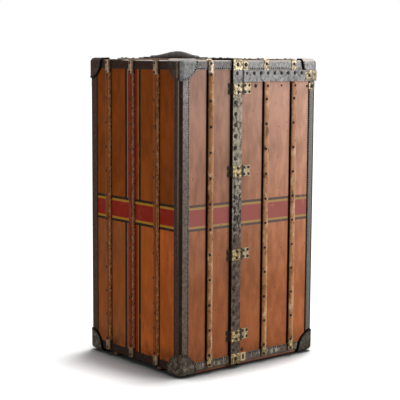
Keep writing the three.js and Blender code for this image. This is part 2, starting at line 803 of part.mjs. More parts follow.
const hangingDepth = halfDepth + mouthX;
const slatX = {
  first: halfDepth - firstSlatShare * drawerHalfDepth,
  second: mouthX - hangingSlatShares.second * hangingDepth,
  third: mouthX - hangingSlatShares.third * hangingDepth,
};
const slatTop = topZ - seat;
const broadSlatPlaces = [-1, 0, 1].map((step) => broadSlatShift + step * broadSlatSpacing);
const lowHingeZ = bottomZ + lowHingeHeight;
const highHingeZ = lidStripBottom - highHingeDrop;
const hingeLevels = hingeLevelShares.map((share) => lowHingeZ + share * (highHingeZ - lowHingeZ));

function mainHingeLeaf(name, leaf, level) {
  return named(name, leaf, brass(), [hingeX, halfWidth + axisProud, level - hingeHeight / 2]);
}

function lidHingeLeaf(name, leaf) {
  const place = [-halfDepth - lidAxisProud, lidHingeLength / 2, lidStripBottom - knuckleReach];
  const mesh = named(name, leaf, brass(), place);
  const turn = new THREE.Matrix4().makeBasis(upZ, upX.clone().negate(), upY.clone().negate());
  mesh.quaternion.setFromRotationMatrix(turn);
  return mesh;
}

function hangingHalf() {
  const group = new THREE.Group();
  const slatEnd = lidStripBottom - seat;
  group.add(named('hanging_case', trunkShell().intersect(hangingRegion), canvas()));
  group.add(named('hanging_edging', trunkEdging().intersect(hangingRegion), fibre()));
  for (const [order, x] of [[2, slatX.second], [3, slatX.third]]) {
    group.add(sideSlat(`hinge_side_slat_${order}`, [x, panelY], 0, slatEnd, false));
    group.add(sideSlat(`lock_side_slat_${order}`, [x, -panelY], Math.PI, slatEnd, false));
  }
  const backSlatTop = lidStripBottom - knuckleReach - knuckleRadius - lidLeafReach - seat;
  broadSlatPlaces.forEach((y, index) => {
    group.add(sideSlat(`back_slat_${index + 1}`, [-panelX, y], Math.PI / 2, backSlatTop, true));
  });
  hingeLevels.forEach((level, index) => {
    const leaf = panelLeaf(hingeHeight, mainKnuckles, axisProud, panelLeafReach, true);
    group.add(mainHingeLeaf(`hinge_pin_leaf_${index + 1}`, leaf, level));
  });
  const skidEnds = [skidEndInset - halfDepth, mouthX - skidSeamInset];
  const glides = [skidEnds[0] + rearGlideInset - skidEndInset, skidEnds[1] - glideInset];
  const skids = skidFrame(skidEnds, [slatX.third, slatX.second], glides);
  group.add(seatOn(named('hanging_skid_frame', skids, skidWood()), envelope));
  const fixedLeaf = panelLeaf(lidHingeLength, lidKnuckles, lidAxisProud, lidLeafReach, false);
  group.add(lidHingeLeaf('lid_hinge_pin_leaf', fixedLeaf));
  group.add(hangerRail());
  group.add(lockCase('lock_case', lockCaseLength, lockCaseHeight, haspLevelShares.middle));
  group.add(lockCase('lower_latch_case', latchCaseLength, latchCaseHeight, haspLevelShares.low));
  group.add(lockCase('upper_latch_case', latchCaseLength, latchCaseHeight, haspLevelShares.high));
  return group;
}

function lid() {
  const group = new THREE.Group();
  const tabDrop = panelTopZ - lidStripBottom - lidStripHeight - seat;
  group.add(named('lid_case', trunkShell().intersect(lidRegion), canvas()));
  group.add(named('lid_edging', trunkEdging().intersect(lidRegion), fibre()));
  group.add(lidStrip());
  group.add(topSlat('lid_top_slat_2', slatX.second, tabDrop));
  group.add(topSlat('lid_top_slat_3', slatX.third, tabDrop));
  const leaf = strapLeaf(lidHingeLength, lidKnuckles, lidAxisProud, lidLeafReach, 0);
  group.add(lidHingeLeaf('lid_hinge_leaf', leaf));
  return group;
}

function drawerHalf() {
  const group = new THREE.Group();
  group.add(named('drawer_case', trunkShell().intersect(drawerRegion), canvas()));
  group.add(named('drawer_half_edging', trunkEdging().intersect(drawerRegion), fibre()));
  group.add(sideSlat('hinge_side_slat_1', [slatX.first, panelY], 0, slatTop, true));
  group.add(sideSlat('lock_side_slat_1', [slatX.first, -panelY], Math.PI, slatTop, true));
  group.add(topSlat('top_slat_1', slatX.first, 0));
  broadSlatPlaces.forEach((y, index) => {
    group.add(sideSlat(`front_slat_${index + 1}`, [panelX, y], -Math.PI / 2, slatTop, true));
  });
  group.add(seamStrip());
  hingeLevels.forEach((level, index) => {
    const leaf = strapLeaf(hingeHeight, mainKnuckles, axisProud, 0, strapLeafFoot);
    group.add(mainHingeLeaf(`hinge_strap_leaf_${index + 1}`, leaf, level));
  });
  const skidEnds = [seamX + skidSeamInset, halfDepth - skidEndInset];
  const [foot, otherFoot] = footBattens(slatX.first);
  const skids = skidFrame(skidEnds, [slatX.first], [skidEnds[0] + glideInset]).add(foot).add(otherFoot);
  group.add(seatOn(named('drawer_half_skid_frame', skids, skidWood()), envelope));
  group.add(handleStrap());
  group.add(handleKeeper('handle_keeper_1', keeperPlace));
  group.add(handleKeeper('handle_keeper_2', -keeperPlace));
  group.add(drawerChest());
  for (let i = 0; i < drawerCount; i += 1) group.add(drawer(i));
  group.add(haspPlate('lock_hasp_plate', lockHaspHeight, haspLevelShares.middle));
  group.add(haspPlate('lower_hasp_plate', latchHaspHeight, haspLevelShares.low));
  group.add(haspPlate('upper_hasp_plate', latchHaspHeight, haspLevelShares.high));
  group.add(hasp('lock_hasp', lockHaspHeight, lockCaseLength, haspLevelShares.middle));
  group.add(hasp('lower_hasp', latchHaspHeight, latchCaseLength, haspLevelShares.low));
  group.add(hasp('upper_hasp', latchHaspHeight, latchCaseLength, haspLevelShares.high));
  return group;
}

function trolley() {
  const group = new THREE.Group();
  group.add(hangerTrolley());
  hangerPlaceShares.forEach((share, index) => {
    group.add(coatHanger(`coat_hanger_${index + 1}`, alongRod(share)));
  });
  return group;
}

const trunk = new THREE.Group();
trunk.add(hangingHalf(), lid(), trolley(), drawerHalf());

export default trunk;
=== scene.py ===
"""Looks of the wardrobe trunk: finishes, nails, studs, clamps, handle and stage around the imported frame."""

import math

import bmesh
import bpy
from mathutils import Matrix, Vector


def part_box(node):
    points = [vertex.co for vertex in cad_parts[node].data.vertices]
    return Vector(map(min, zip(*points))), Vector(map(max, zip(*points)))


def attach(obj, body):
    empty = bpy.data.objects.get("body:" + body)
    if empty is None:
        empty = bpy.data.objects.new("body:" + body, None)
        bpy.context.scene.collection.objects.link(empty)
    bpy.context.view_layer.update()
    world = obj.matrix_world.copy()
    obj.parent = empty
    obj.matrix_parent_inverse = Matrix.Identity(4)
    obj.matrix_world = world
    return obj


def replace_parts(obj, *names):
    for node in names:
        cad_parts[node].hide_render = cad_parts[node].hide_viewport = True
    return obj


bl_info = {
    "name": "Wardrobe trunk looks",
    "version": (1, 0, 0),
    "blender": (4, 5, 0),
    "location": "View3D > Sidebar > Trunk",
    "description": "Finishes, fastenings, handle and stage of an upright wardrobe trunk",
    "category": "Object",
}

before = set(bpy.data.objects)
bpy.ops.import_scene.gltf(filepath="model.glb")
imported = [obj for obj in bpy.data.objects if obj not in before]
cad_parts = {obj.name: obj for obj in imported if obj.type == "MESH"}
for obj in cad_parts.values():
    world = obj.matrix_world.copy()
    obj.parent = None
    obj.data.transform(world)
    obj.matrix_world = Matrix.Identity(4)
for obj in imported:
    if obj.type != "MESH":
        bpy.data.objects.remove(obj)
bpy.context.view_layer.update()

HINGE_SIDE = Vector((0, 1, 0))
LOCK_SIDE = Vector((0, -1, 0))
FRONT = Vector((1, 0, 0))
BACK = Vector((-1, 0, 0))
UP = Vector((0, 0, 1))


def ends(node, axis):
    """Where a node begins and ends along an axis, to a hundredth of a millimetre."""
    return tuple(round(corner["xyz".index(axis)], 5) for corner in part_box(node))


def middle(node, axis, step):
    """The middle of a node along an axis, to the nearest step."""
    return round(sum(ends(node, axis)) / 2 / step) * step


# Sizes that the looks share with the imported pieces, in metres
CAP_PROUD = 0.006
CAP_REACH = 0.071
BORDER = 0.038
BACK_BORDER = 0.032
LOW_BORDER = 0.032
TOP_BORDER = 0.033
WINDOW_RADIUS = 0.024
CLAMP_LENGTH = 0.049
SLAT_SHOULDER = 0.007
SLAT_CROWN = 0.006
CROWN_HALF_WIDTH = 0.0115
TOP_PANEL_Z = 1.1135
LINED_X = 0.3105
LINED_Y = 0.2595
LINED_Z = (0.028, 1.104)

# How near counts as on a face, and how far tacks keep from the strips
SKIN = 0.001
CLEARANCE = 0.002
TACK_CLEARANCE = 0.005

# Painted bands, measured on the photo
BAND_Z = (0.5195, 0.6135)
BAND_Y = (-0.059, 0.038)
BAND_RED_SHARE = 0.19
UPRIGHT_LINE_SHARE = 0.145
LEVEL_LINE_SHARE = 0.1

# Places of the closed trunk, read from the frame, middles to the nearest step
TENTH_MILLIMETRE = 0.0001
HALF_MILLIMETRE = 0.0005
HALF_X = ends("drawer_half_edging", "x")[1] - CAP_PROUD
HALF_Y = ends("drawer_half_edging", "y")[1] - CAP_PROUD
HIGH_Z = ends("drawer_half_edging", "z")[1] - CAP_PROUD
LOW_Z = ends("seam_strip", "z")[0]
MIDDLE_Z = (LOW_Z + HIGH_Z) / 2
HALF_Z = (HIGH_Z - LOW_Z) / 2
PANEL_X = ends("front_slat_1", "x")[0]
PANEL_Y = ends("hinge_side_slat_1", "y")[0]
SEAM_X = ends("drawer_case", "x")[0]
MOUTH_X = ends("hanging_case", "x")[1]
STRIP_X = ends("seam_strip", "x")
STRIP_Y = ends("seam_strip", "y")[1]
STRIP_TOP = ends("seam_strip", "z")[1]
LID_STRIP_X = ends("lid_strip", "x")
LID_STRIP_Y = ends("lid_strip", "y")[1]
LID_STRIP_Z = ends("lid_strip", "z")
LEAF_FACE_Y = ends("hinge_strap_leaf_1", "y")[1]
HASP_FACE_Y = ends("lock_hasp", "y")[0]
SLAT_HALF = (ends("front_slat_1", "y")[1] - ends("front_slat_1", "y")[0]) / 2
SLAT_X = {name: middle(f"hinge_side_slat_{number}", "x", TENTH_MILLIMETRE)
          for number, name in enumerate(("first", "second", "third"), 1)}
BROAD_SLATS_Y = tuple(middle(f"front_slat_{number}", "y", TENTH_MILLIMETRE) for number in (1, 2, 3))
HANDLE_X = middle("top_handle", "x", TENTH_MILLIMETRE)
HINGE_Z = tuple(middle(f"hinge_strap_leaf_{number}", "z", HALF_MILLIMETRE) for number in (1, 2, 3, 4))
HASP_Z = {name: middle(f"{name}_hasp_plate", "z", HALF_MILLIMETRE) for name in ("lock", "lower", "upper")}


# Node helpers
def feed(tree, socket, value):
    """Links an input to a field or a socket, or sets it to a value."""
    value = getattr(value, "socket", value)
    if isinstance(value, bpy.types.NodeSocket):
        tree.links.new(value, socket)
    elif value is not None:
        if socket.type == "RGBA" and len(value) == 3:
            value = (*value, 1)
        socket.default_value = value


def added(tree, kind, inputs=None, **settings):
    """A new node with its settings, and with inputs linked or set by name or number."""
    node = tree.nodes.new(kind)
    for name, value in settings.items():
        setattr(node, name, value)
    for place, value in (inputs or {}).items():
        feed(tree, node.inputs[place], value)
    return node


def tinted(colour, factor):
    return tuple(min(1, factor * channel) for channel in colour)


class Field:
    """A number that varies over a piece. Masks are fields from 0 to 1: * is both, | is either, ~ is not."""

    def __init__(self, paint, socket):
        self.paint = paint
        self.socket = socket

    def __mul__(self, other):
        return self.paint.math("MULTIPLY", self, other)

    def __add__(self, other):
        return self.paint.math("ADD", self, other)

    def __sub__(self, other):
        return self.paint.math("SUBTRACT", self, other)

    def __rsub__(self, other):
        return self.paint.math("SUBTRACT", other, self)

    def __or__(self, other):
        return self.paint.math("MAXIMUM", self, other)

    def __invert__(self):
        return 1.0 - self

    def __abs__(self):
        return self.paint.math("ABSOLUTE", self)

    def stretch(self, *limits):
        """From low and high to 0 and 1, or to the two values that follow them."""
        sockets = ("From Min", "From Max", "To Min", "To Max")
        node = self.paint.add("ShaderNodeMapRange", {"Value": self, **dict(zip(sockets, limits))})
        return Field(self.paint, node.outputs[0])

    def over(self, edge, soft=0.0002):
        return self.stretch(edge - soft, edge + soft)

    def under(self, edge, soft=0.0002):
        return ~self.over(edge, soft)

    def between(self, low, high, soft=0.0002):
        return self.over(low, soft) * self.under(high, soft)


class Paint:
    """A principled material made of coats of colour, patterned on Object coordinates."""

    def __init__(self, name, **constants):
        self.material = bpy.data.materials.new(name)
        self.material.use_nodes = True
        self.tree = self.material.node_tree
        self.tree.nodes.clear()
        self.shader = self.add("ShaderNodeBsdfPrincipled")
        for socket, value in constants.items():
            self.shader.inputs[socket.replace("_", " ")].default_value = value
        self.add("ShaderNodeOutputMaterial", {"Surface": self.shader.outputs[0]})
        self.place = self.add("ShaderNodeTexCoord").outputs["Object"]
        split = self.add("ShaderNodeSeparateXYZ", {0: self.place})
        self.x, self.y, self.z = (Field(self, socket) for socket in split.outputs)
        self.colour = None

    def add(self, kind, inputs=None, **settings):
        return added(self.tree, kind, inputs, **settings)

    def math(self, operation, *values):
        node = self.add("ShaderNodeMath", dict(enumerate(values)), operation=operation)
        return Field(self, node.outputs[0])

    def blend(self, mask, outside, inside):
        node = self.add("ShaderNodeMix", {0: mask, 2: outside, 3: inside})
        return Field(self, node.outputs[0])

    def squeezed(self, squeeze, turn):
        if squeeze is None:
            return self.place
        node = self.add("ShaderNodeMapping", {"Vector": self.place, "Scale": squeeze, "Rotation": turn})
        return node.outputs[0]

    def noise(self, scale, detail=3.0, roughness=0.55, distortion=0.0, squeeze=None, turn=(0, 0, 0)):
        node = self.add("ShaderNodeTexNoise", {
            "Vector": self.squeezed(squeeze, turn), "Scale": scale, "Detail": detail,
            "Roughness": roughness, "Distortion": distortion})
        return Field(self, node.outputs["Fac"])

    def cells(self, scale, squeeze=None):
        place = self.squeezed(squeeze, (0, 0, 0))
        node = self.add("ShaderNodeTexVoronoi", {"Vector": place, "Scale": scale}, feature="F1")
        return Field(self, node.outputs["Distance"])

    def ridges(self, scale, distortion):
        """Level ridges, one above another."""
        node = self.add("ShaderNodeTexWave", {"Vector": self.place, "Scale": scale, "Distortion": distortion},
                        bands_direction="Z")
        return Field(self, node.outputs["Fac"])

    def ramp(self, value, *stops):
        node = self.add("ShaderNodeValToRGB", {0: value})
        elements = node.color_ramp.elements
        while len(elements) < len(stops):
            elements.new(0.5)
        for element, (position, colour) in zip(elements, stops):
            element.position = position
            element.color = (*colour, 1)
        return node.outputs[0]

    def mix(self, mask, outside, inside, blend="MIX"):
        node = self.add("ShaderNodeMix", {0: mask, 6: outside, 7: inside}, data_type="RGBA", blend_type=blend)
        return node.outputs[2]

    def shaded(self, colour, factor):
        """The colour times a grey factor."""
        grey = self.add("ShaderNodeCombineColor", {0: factor, 1: factor, 2: factor})
        return self.mix(1.0, colour, grey.outputs[0], "MULTIPLY")

    def lay(self, mask, colour):
        """Lays a coat of colour where the mask is 1."""
        self.colour = self.mix(mask, self.colour, colour)

    def shade(self, factor):
        self.colour = self.shaded(self.colour, factor)

    def bump(self, height, strength, distance, below=None):
        node = self.add("ShaderNodeBump", {"Strength": strength, "Distance": distance, "Height": height,
                                           "Normal": below})
        return node.outputs[0]

    def dry(self, roughness, normal=None, metal=None):
        """The finished material, with all its coats."""
        looks = {"Base Color": self.colour, "Roughness": roughness, "Normal": normal, "Metallic": metal}
        for socket, value in looks.items():
            feed(self.tree, self.shader.inputs[socket], value)
        return self.material

    def on_broad_faces(self):
        return abs(self.x).over(PANEL_X - SKIN)

    def on_both_sides(self):
        return abs(self.y).over(PANEL_Y - SKIN)

    def on_hinge_side(self):
        return self.y.over(PANEL_Y - SKIN)


# Finishes
def weave(paint, pitch):
    """Height of a plain cloth weave with threads of that pitch along all three directions."""
    threads = [abs(paint.math("SINE", place * (math.pi / pitch))) for place in (paint.x, paint.y, paint.z)]
    return threads[0] + threads[1] + threads[2]


def stripes(paint, place):
    """Woven stripes of the lining across a place."""
    pitch = 0.024
    return paint.math("SINE", place * (2 * math.pi / pitch)).over(0.55, 0.12) * 0.4


def along_slats(place, middles, low, high, soft=0.0006):
    """Lines along every slat, between two distances from its middle line."""
    lines = [place.between(at + low, at + high, soft) for at in middles]
    return lines[0] | lines[1] | lines[2]


def painted_bands(paint):
    """Red band between yellow and black lines, level round the trunk and upright on both broad faces."""
    # Each band colour, plain and paled
    black = ((0.016, 0.010, 0.006), (0.125, 0.090, 0.078))
    yellow = ((0.31, 0.145, 0.014), (0.40, 0.24, 0.10))
    red = ((0.200, 0.014, 0.0055), (0.33, 0.105, 0.090))
    soft = 0.0005
    kept = paint.noise(26.0, 6.0, 0.7, squeeze=(1, 1, 0.35)).over(0.37, 0.04)
    # Paled colours: painted sheen over the whole hinge side, and real fading in patches on the other faces
    fading_and_sheen = paint.blend(paint.on_hinge_side(), paint.noise(22.0, 4.0, 0.6).stretch(0.5, 0.9, 0.0, 0.3), 1.0)

    def band(place, low, high, line_share, where):
        bare = paint.colour
        for share, (fresh, paled) in ((0, black), (line_share, yellow), (BAND_RED_SHARE, red),
                                      (1 - BAND_RED_SHARE, yellow), (1 - line_share, black)):
            paint.lay(place.over(low + share * (high - low), soft), paint.mix(fading_and_sheen, fresh, paled))
        paint.colour = paint.mix(place.between(low, high, soft) * kept * where, bare, paint.colour)

    band(paint.y, *BAND_Y, UPRIGHT_LINE_SHARE, paint.on_broad_faces())
    band(paint.z, *BAND_Z, LEVEL_LINE_SHARE, paint.on_broad_faces() | paint.on_both_sides())


def canvas_finish(colours):
    """Varnished canvas outside with painted sheen and painted shadow, striped lining cloth inside and raw
    wood at the mouth.
    """
    paint = Paint("trunk_canvas", Specular_IOR_Level=0.02)
    side = paint.on_hinge_side()
    height = paint.z.stretch(LOW_Z, HIGH_Z)
    lower = paint.mix(paint.y.over(-0.02, 0.06), colours.canvas, colours.canvas_light)
    paint.colour = paint.mix(paint.z.under(0.55, 0.05), colours.canvas_dark, lower)
    # Painted sheen: the hinge side is painted paler, more so towards the top and towards the back
    painted_sheen = paint.ramp(height, (0.0, (0.285, 0.088, 0.033)), (0.25, (0.302, 0.104, 0.043)),
                      (0.45, (0.335, 0.14, 0.075)), (0.64, (0.363, 0.184, 0.122)),
                      (0.95, (0.372, 0.222, 0.169)))
    paint.lay(side, paint.shaded(painted_sheen, paint.x.stretch(-0.30, 0.08, 1.42, 1.0)))
    tone = paint.noise(3.6, 4.0, 0.6) * 0.5 + paint.noise(42.0, 4.0, 0.6, squeeze=(1, 1, 0.3)) * 0.5
    paint.shade(tone.stretch(0.41, 0.59, 0.80, 1.2))
    glow = ~side * paint.noise(7.0, 2.0, squeeze=(1, 1, 0.25)).stretch(0.5, 0.62)
    paint.lay(glow * 0.4, (0.30, 0.075, 0.006))
    grime = paint.z.under(0.078, 0.032) * paint.noise(30.0, 4.0).stretch(0.35, 0.6)
    paint.lay(grime * paint.blend(side, 0.85, 0.35), (0.035, 0.017, 0.008))
    painted_bands(paint)
    specks = paint.cells(34.0).under(0.075, 0.02)
    marks = paint.noise(40.0, 6.0, 0.7, squeeze=(1, 1, 0.35), turn=(0.25, 0, 0)).over(0.69, 0.012)
    nicks = specks | marks
    paint.lay(nicks * 0.75, (0.06, 0.022, 0.012))
    scuffs = paint.noise(17.0, 8.0, 0.75, 0.6, squeeze=(1, 1, 0.6), turn=(0.5, 0.4, 0)).over(0.74, 0.015)
    paint.lay(scuffs * 0.45, (0.52, 0.31, 0.19))
    # Near-black lines beside the slats and the seam strip: painted shadow of the raised slats and strip, with
    # some grime in the corners
    beside = (SLAT_HALF - 0.002, SLAT_HALF + 0.0036, 0.0004)
    shade_and_grime_beside_slats = (paint.on_both_sides() * along_slats(paint.x, SLAT_X.values(), *beside)
                    | paint.on_broad_faces() * along_slats(paint.y, BROAD_SLATS_Y, *beside))
    shadow_beside_strip = paint.x.between(STRIP_X[1] - 0.001, STRIP_X[1] + 0.0042, 0.0004)
    paint.lay(shade_and_grime_beside_slats | shadow_beside_strip, (0.012, 0.006, 0.004))

    lined = (abs(paint.x).under(LINED_X, 0.0001) * abs(paint.y).under(LINED_Y, 0.0001)
             * paint.z.between(*LINED_Z, 0.0001))
    cloth = paint.mix(stripes(paint, paint.x + paint.y), colours.lining, tinted(colours.lining, 0.55))
    stain = paint.noise(9.0, 5.0).stretch(0.35, 0.75, 0.0, 0.4)
    paint.lay(lined, paint.mix(stain, cloth, (0.22, 0.13, 0.06)))
    raw_edge = paint.x.between(MOUTH_X - 0.0004, SEAM_X + 0.0004, 0.0001)
    paint.lay(raw_edge, paint.ramp(paint.noise(5.0, 4.0, squeeze=(30, 30, 1.5)),
                                   (0.3, (0.17, 0.085, 0.035)), (0.7, (0.34, 0.20, 0.09))))
    varnish = paint.noise(11.0, 5.0, 0.65).stretch(0.3, 0.7, 0.36, 0.54)
    threads = paint.bump(weave(paint, 0.0011), 0.35, 0.0002)
    waves = paint.bump(paint.noise(5.5, 4.0, 0.5, squeeze=(1, 1, 0.4)), 0.3, 0.005, threads)
    return paint.dry(paint.blend(lined, varnish, 0.9), paint.bump(nicks, -0.5, 0.0006, waves))


def corner_distance(paint):
    """Distance to the nearest of the closed trunk's eight corners, and its three parts."""
    gaps = (HALF_X - abs(paint.x), HALF_Y - abs(paint.y), HALF_Z - abs(paint.z - MIDDLE_Z))
    squares = [gap * gap for gap in gaps]
    return paint.math("SQRT", squares[0] + squares[1] + squares[2]), gaps


def fibre_finish(colours):
    """Worn fibre: dark on the broad face, with a painted silvery sheen on the hinge side and black lines
    round the corners.
    """
    paint = Paint("edging_fibre", Specular_IOR_Level=0.03)
    reach, (gap_x, gap_y, gap_z) = corner_distance(paint)
    height = paint.z.stretch(LOW_Z, HIGH_Z)
    upper = paint.z.over(MIDDLE_Z)
    patches = paint.noise(14.0, 6.0, 0.65)
    fine = paint.noise(170.0, 5.0, 0.7, squeeze=(1, 1, 0.5))
    side = paint.y.over(HALF_Y - 0.003)
    front = paint.x.over(HALF_X - 0.003) * ~side
    lid_run = side * paint.x.under(0.05) * paint.z.over(1.06)
    far = side * paint.x.under(-0.2, 0.01) * paint.z.under(1.04)
    low_run = side * paint.z.under(LOW_Z + LOW_BORDER + 0.002, 0.001)

    # Painted sheen: on the hinge side the fibre is painted silvery grey, lighter towards the top
    pale = paint.ramp(height, (0.0, (0.130, 0.088, 0.066)), (0.35, (0.150, 0.112, 0.090)),
                      (0.65, (0.175, 0.138, 0.118)), (0.88, (0.30, 0.25, 0.235)), (0.965, (0.28, 0.25, 0.24)),
                      (1.0, (0.215, 0.205, 0.20)))
    pale = paint.mix(lid_run, pale, (0.35, 0.345, 0.335))
    pale = paint.mix(far, pale, paint.mix(height, (0.145, 0.13, 0.11), (0.24, 0.23, 0.21)))
    paint.colour = paint.mix(side, colours.fibre, pale)
    paint.lay(low_run * 0.8, (0.135, 0.112, 0.092))
    paint.lay(front * gap_z.under(TOP_BORDER, 0.002) * 0.9, (0.026, 0.013, 0.009))
    paint.shade(paint.blend(far, fine.stretch(0.36, 0.62, 0.5, 1.35), fine.stretch(0.3, 0.7, 0.75, 1.2)))

    rubs = paint.noise(95.0, 3.0, 0.6, squeeze=(1, 1, 0.22)).over(0.56, 0.03)
    paint.lay(low_run * paint.z.between(0.024, 0.046, 0.004) * rubs, (0.36, 0.32, 0.27))
    core = (gap_x | gap_y).under(0.0085, 0.0016) * patches.stretch(0.3, 0.45, 0.55, 1.0)
    paint.lay(core, (0.018, 0.011, 0.008))
    # Painted highlight: a pale line on the broad face near its hinge-side edge, in the upper part
    edge_highlight = front * paint.y.over(0.0) * gap_y.between(0.0140, 0.0168, 0.001)
    paint.lay(edge_highlight * height.stretch(0.35, 0.7) * patches.stretch(0.35, 0.5, 0.2, 0.8), (0.40, 0.33, 0.25))
    seam_line = side * gap_x.between(BORDER - 0.0026, BORDER, 0.0004)
    paint.lay(seam_line * fine.stretch(0.4, 0.5, 0.3, 0.9) * height.stretch(0.25, 0.6), (0.36, 0.32, 0.29))
    inner_line = far * gap_x.between(BACK_BORDER - 0.003, BACK_BORDER + 0.001, 0.0004)
    paint.lay(inner_line, (0.012, 0.010, 0.009))
    # Painted highlight: a pale line along the top edges of the faces, on the hinge-side half
    brink = paint.math("MINIMUM", gap_x, gap_y).under(0.007, 0.002) * paint.y.over(-0.06, 0.02)
    crown = gap_z.under(0.0034, 0.001) * upper * brink * patches.stretch(0.35, 0.5, 0.5, 1.0)
    paint.lay(crown, (0.52, 0.46, 0.43))

    cap = reach.under(CAP_REACH + 0.0012, 0.0003)
    cap_tone = paint.ramp(paint.noise(70.0, 6.0, 0.75), (0.36, (0.022, 0.018, 0.015)),
                          (0.52, (0.088, 0.068, 0.050)), (0.68, (0.26, 0.22, 0.17)))
    shown = ~upper * 0.8 | 0.2
    paint.lay(cap * ~(side * upper) * shown, paint.shaded(cap_tone, paint.blend(far * ~upper, 1.0, 0.6)))
    paint.lay(cap * side * upper * paint.x.over(0.0) * 0.7,
              paint.ramp(fine, (0.35, (0.13, 0.135, 0.135)), (0.6, (0.34, 0.345, 0.34))))
    # Painted shade: the fibre under the slot of the slotted plates is near-black
    slot_shade = paint.x.between(0.0225, 0.0320) * paint.z.between(0.0245, 0.0445)
    paint.lay(slot_shade, (0.018, 0.014, 0.010))
    # Near-black line round each corner piece: a dark seam, and painted shade at the piece's raised edge
    outline = reach.between(CAP_REACH - 0.004, CAP_REACH + 0.0045, 0.0014)
    paint.lay(outline * (paint.y.under(0.0) | paint.x.under(0.0) | 0.25), (0.008, 0.007, 0.006))

    pits = paint.bump(paint.cells(330.0), 0.35, 0.0004)
    ridges = paint.bump(far * paint.ridges(230.0, 1.5), 0.35, 0.0006, pits)
    waves = paint.bump(patches + fine * 0.4, 0.6, 0.0018, ridges)
    return paint.dry(patches.stretch(0.3, 0.7, 0.38, 0.6), waves)


def strip_finish(colours):
    """Covered strips, flaked to a mottle of black, cream and grey, whole and dark low down."""
    paint = Paint("strip_fibre", Specular_IOR_Level=0.06)
    flakes = paint.noise(95.0, 6.0, 0.74, 0.15, squeeze=(1, 1, 0.7))
    paint.colour = paint.ramp(flakes, (0.38, (0.045, 0.040, 0.032)), (0.48, colours.strip),
                              (0.62, (0.47, 0.42, 0.33)))
    paint.lay(paint.z.under(0.68, 0.05), paint.ramp(
        flakes, (0.42, (0.014, 0.013, 0.012)), (0.5, (0.13, 0.12, 0.10)), (0.62, (0.45, 0.39, 0.30))))
    paint.lay(paint.z.under(0.52, 0.05) * 0.9, paint.ramp(
        flakes, (0.4, (0.055, 0.038, 0.030)), (0.55, (0.105, 0.073, 0.056)), (0.7, (0.20, 0.16, 0.13))))
    paint.lay(paint.x.under(0.046) | paint.z.over(1.035, 0.006), paint.ramp(
        flakes, (0.38, (0.11, 0.105, 0.10)), (0.5, (0.30, 0.292, 0.285)), (0.62, (0.42, 0.41, 0.40))))
    # Painted shade: the strip's raised flank facing the drawer half is near-black
    flank = paint.x.over(STRIP_X[1] - 0.0012, 0.0004) * abs(paint.y).under(STRIP_Y - 0.0012, 0.0006)
    paint.lay(flank, (0.010, 0.008, 0.006))
    return paint.dry(paint.noise(9.0, 3.0).stretch(0.3, 0.7, 0.34, 0.58), paint.bump(flakes, 0.6, 0.0010))


def wood_coat(paint, along, light, dark):
    """Straight grain along one direction, with rubbed and stained places."""
    squeeze = {"X": (2.0, 60, 60), "Y": (60, 2.0, 60), "Z": (60, 60, 2.0)}[along]
    grain = paint.noise(3.2, 7.0, 0.7, 0.4, squeeze=squeeze)
    stain = paint.noise(16.0, 4.0, 0.6)
    paint.colour = paint.ramp(grain, (0.3, dark), (0.52, light), (0.75, tinted(light, 1.28)))
    paint.lay(stain.stretch(0.5, 0.75, 0.0, 0.75), tinted(dark, 0.45))
    return grain, stain


def tarnished_brass(paint, colours):
    """Colour, metalness, roughness and relief of tarnished brass."""
    tarnish = paint.noise(95.0, 5.0, 0.66)
    steps = ((0.34, 0.25), (0.45, 0.7), (0.54, 1.5), (0.64, 3.0))
    colour = paint.ramp(tarnish, *[(at, tinted(colours.brass, factor)) for at, factor in steps])
    greyed = paint.ramp(tarnish, (0.38, (0.045, 0.038, 0.03)), (0.64, (0.36, 0.32, 0.25)))
    colour = paint.mix(paint.z.stretch(0.55, 1.05, 0.0, 0.65), colour, greyed)
    dull = paint.noise(48.0, 4.0, 0.6).stretch(0.60, 0.72, 0.0, 0.75)
    colour = paint.mix(dull, colour, (0.06, 0.045, 0.03))
    return colour, dull.stretch(0.0, 1.0, 0.85, 0.3), tarnish.stretch(0.3, 0.7, 0.52, 0.33), tarnish


def slat_dry(paint, wood, brass, brass_ends):
    """The finished slat: its wood, and brass at its ends."""
    grain, stain = wood
    brass_colour, metal, brass_rough, tarnish = brass
    paint.lay(brass_ends, brass_colour)
    rough = paint.blend(brass_ends, stain.stretch(0.3, 0.7, 0.38, 0.6), brass_rough)
    relief = paint.bump(paint.blend(brass_ends, grain, tarnish), 0.4, 0.0006)
    return paint.dry(rough, relief, brass_ends * metal)


def upright_brass_ends(paint):
    """Both ends of the upright slats: the top end is lower on the back."""
    back_end = paint.x.under(-PANEL_X) * paint.z.over(0.9564)
    return paint.z.under(0.061) | back_end | paint.z.over(HIGH_Z - CLAMP_LENGTH - 0.0003)


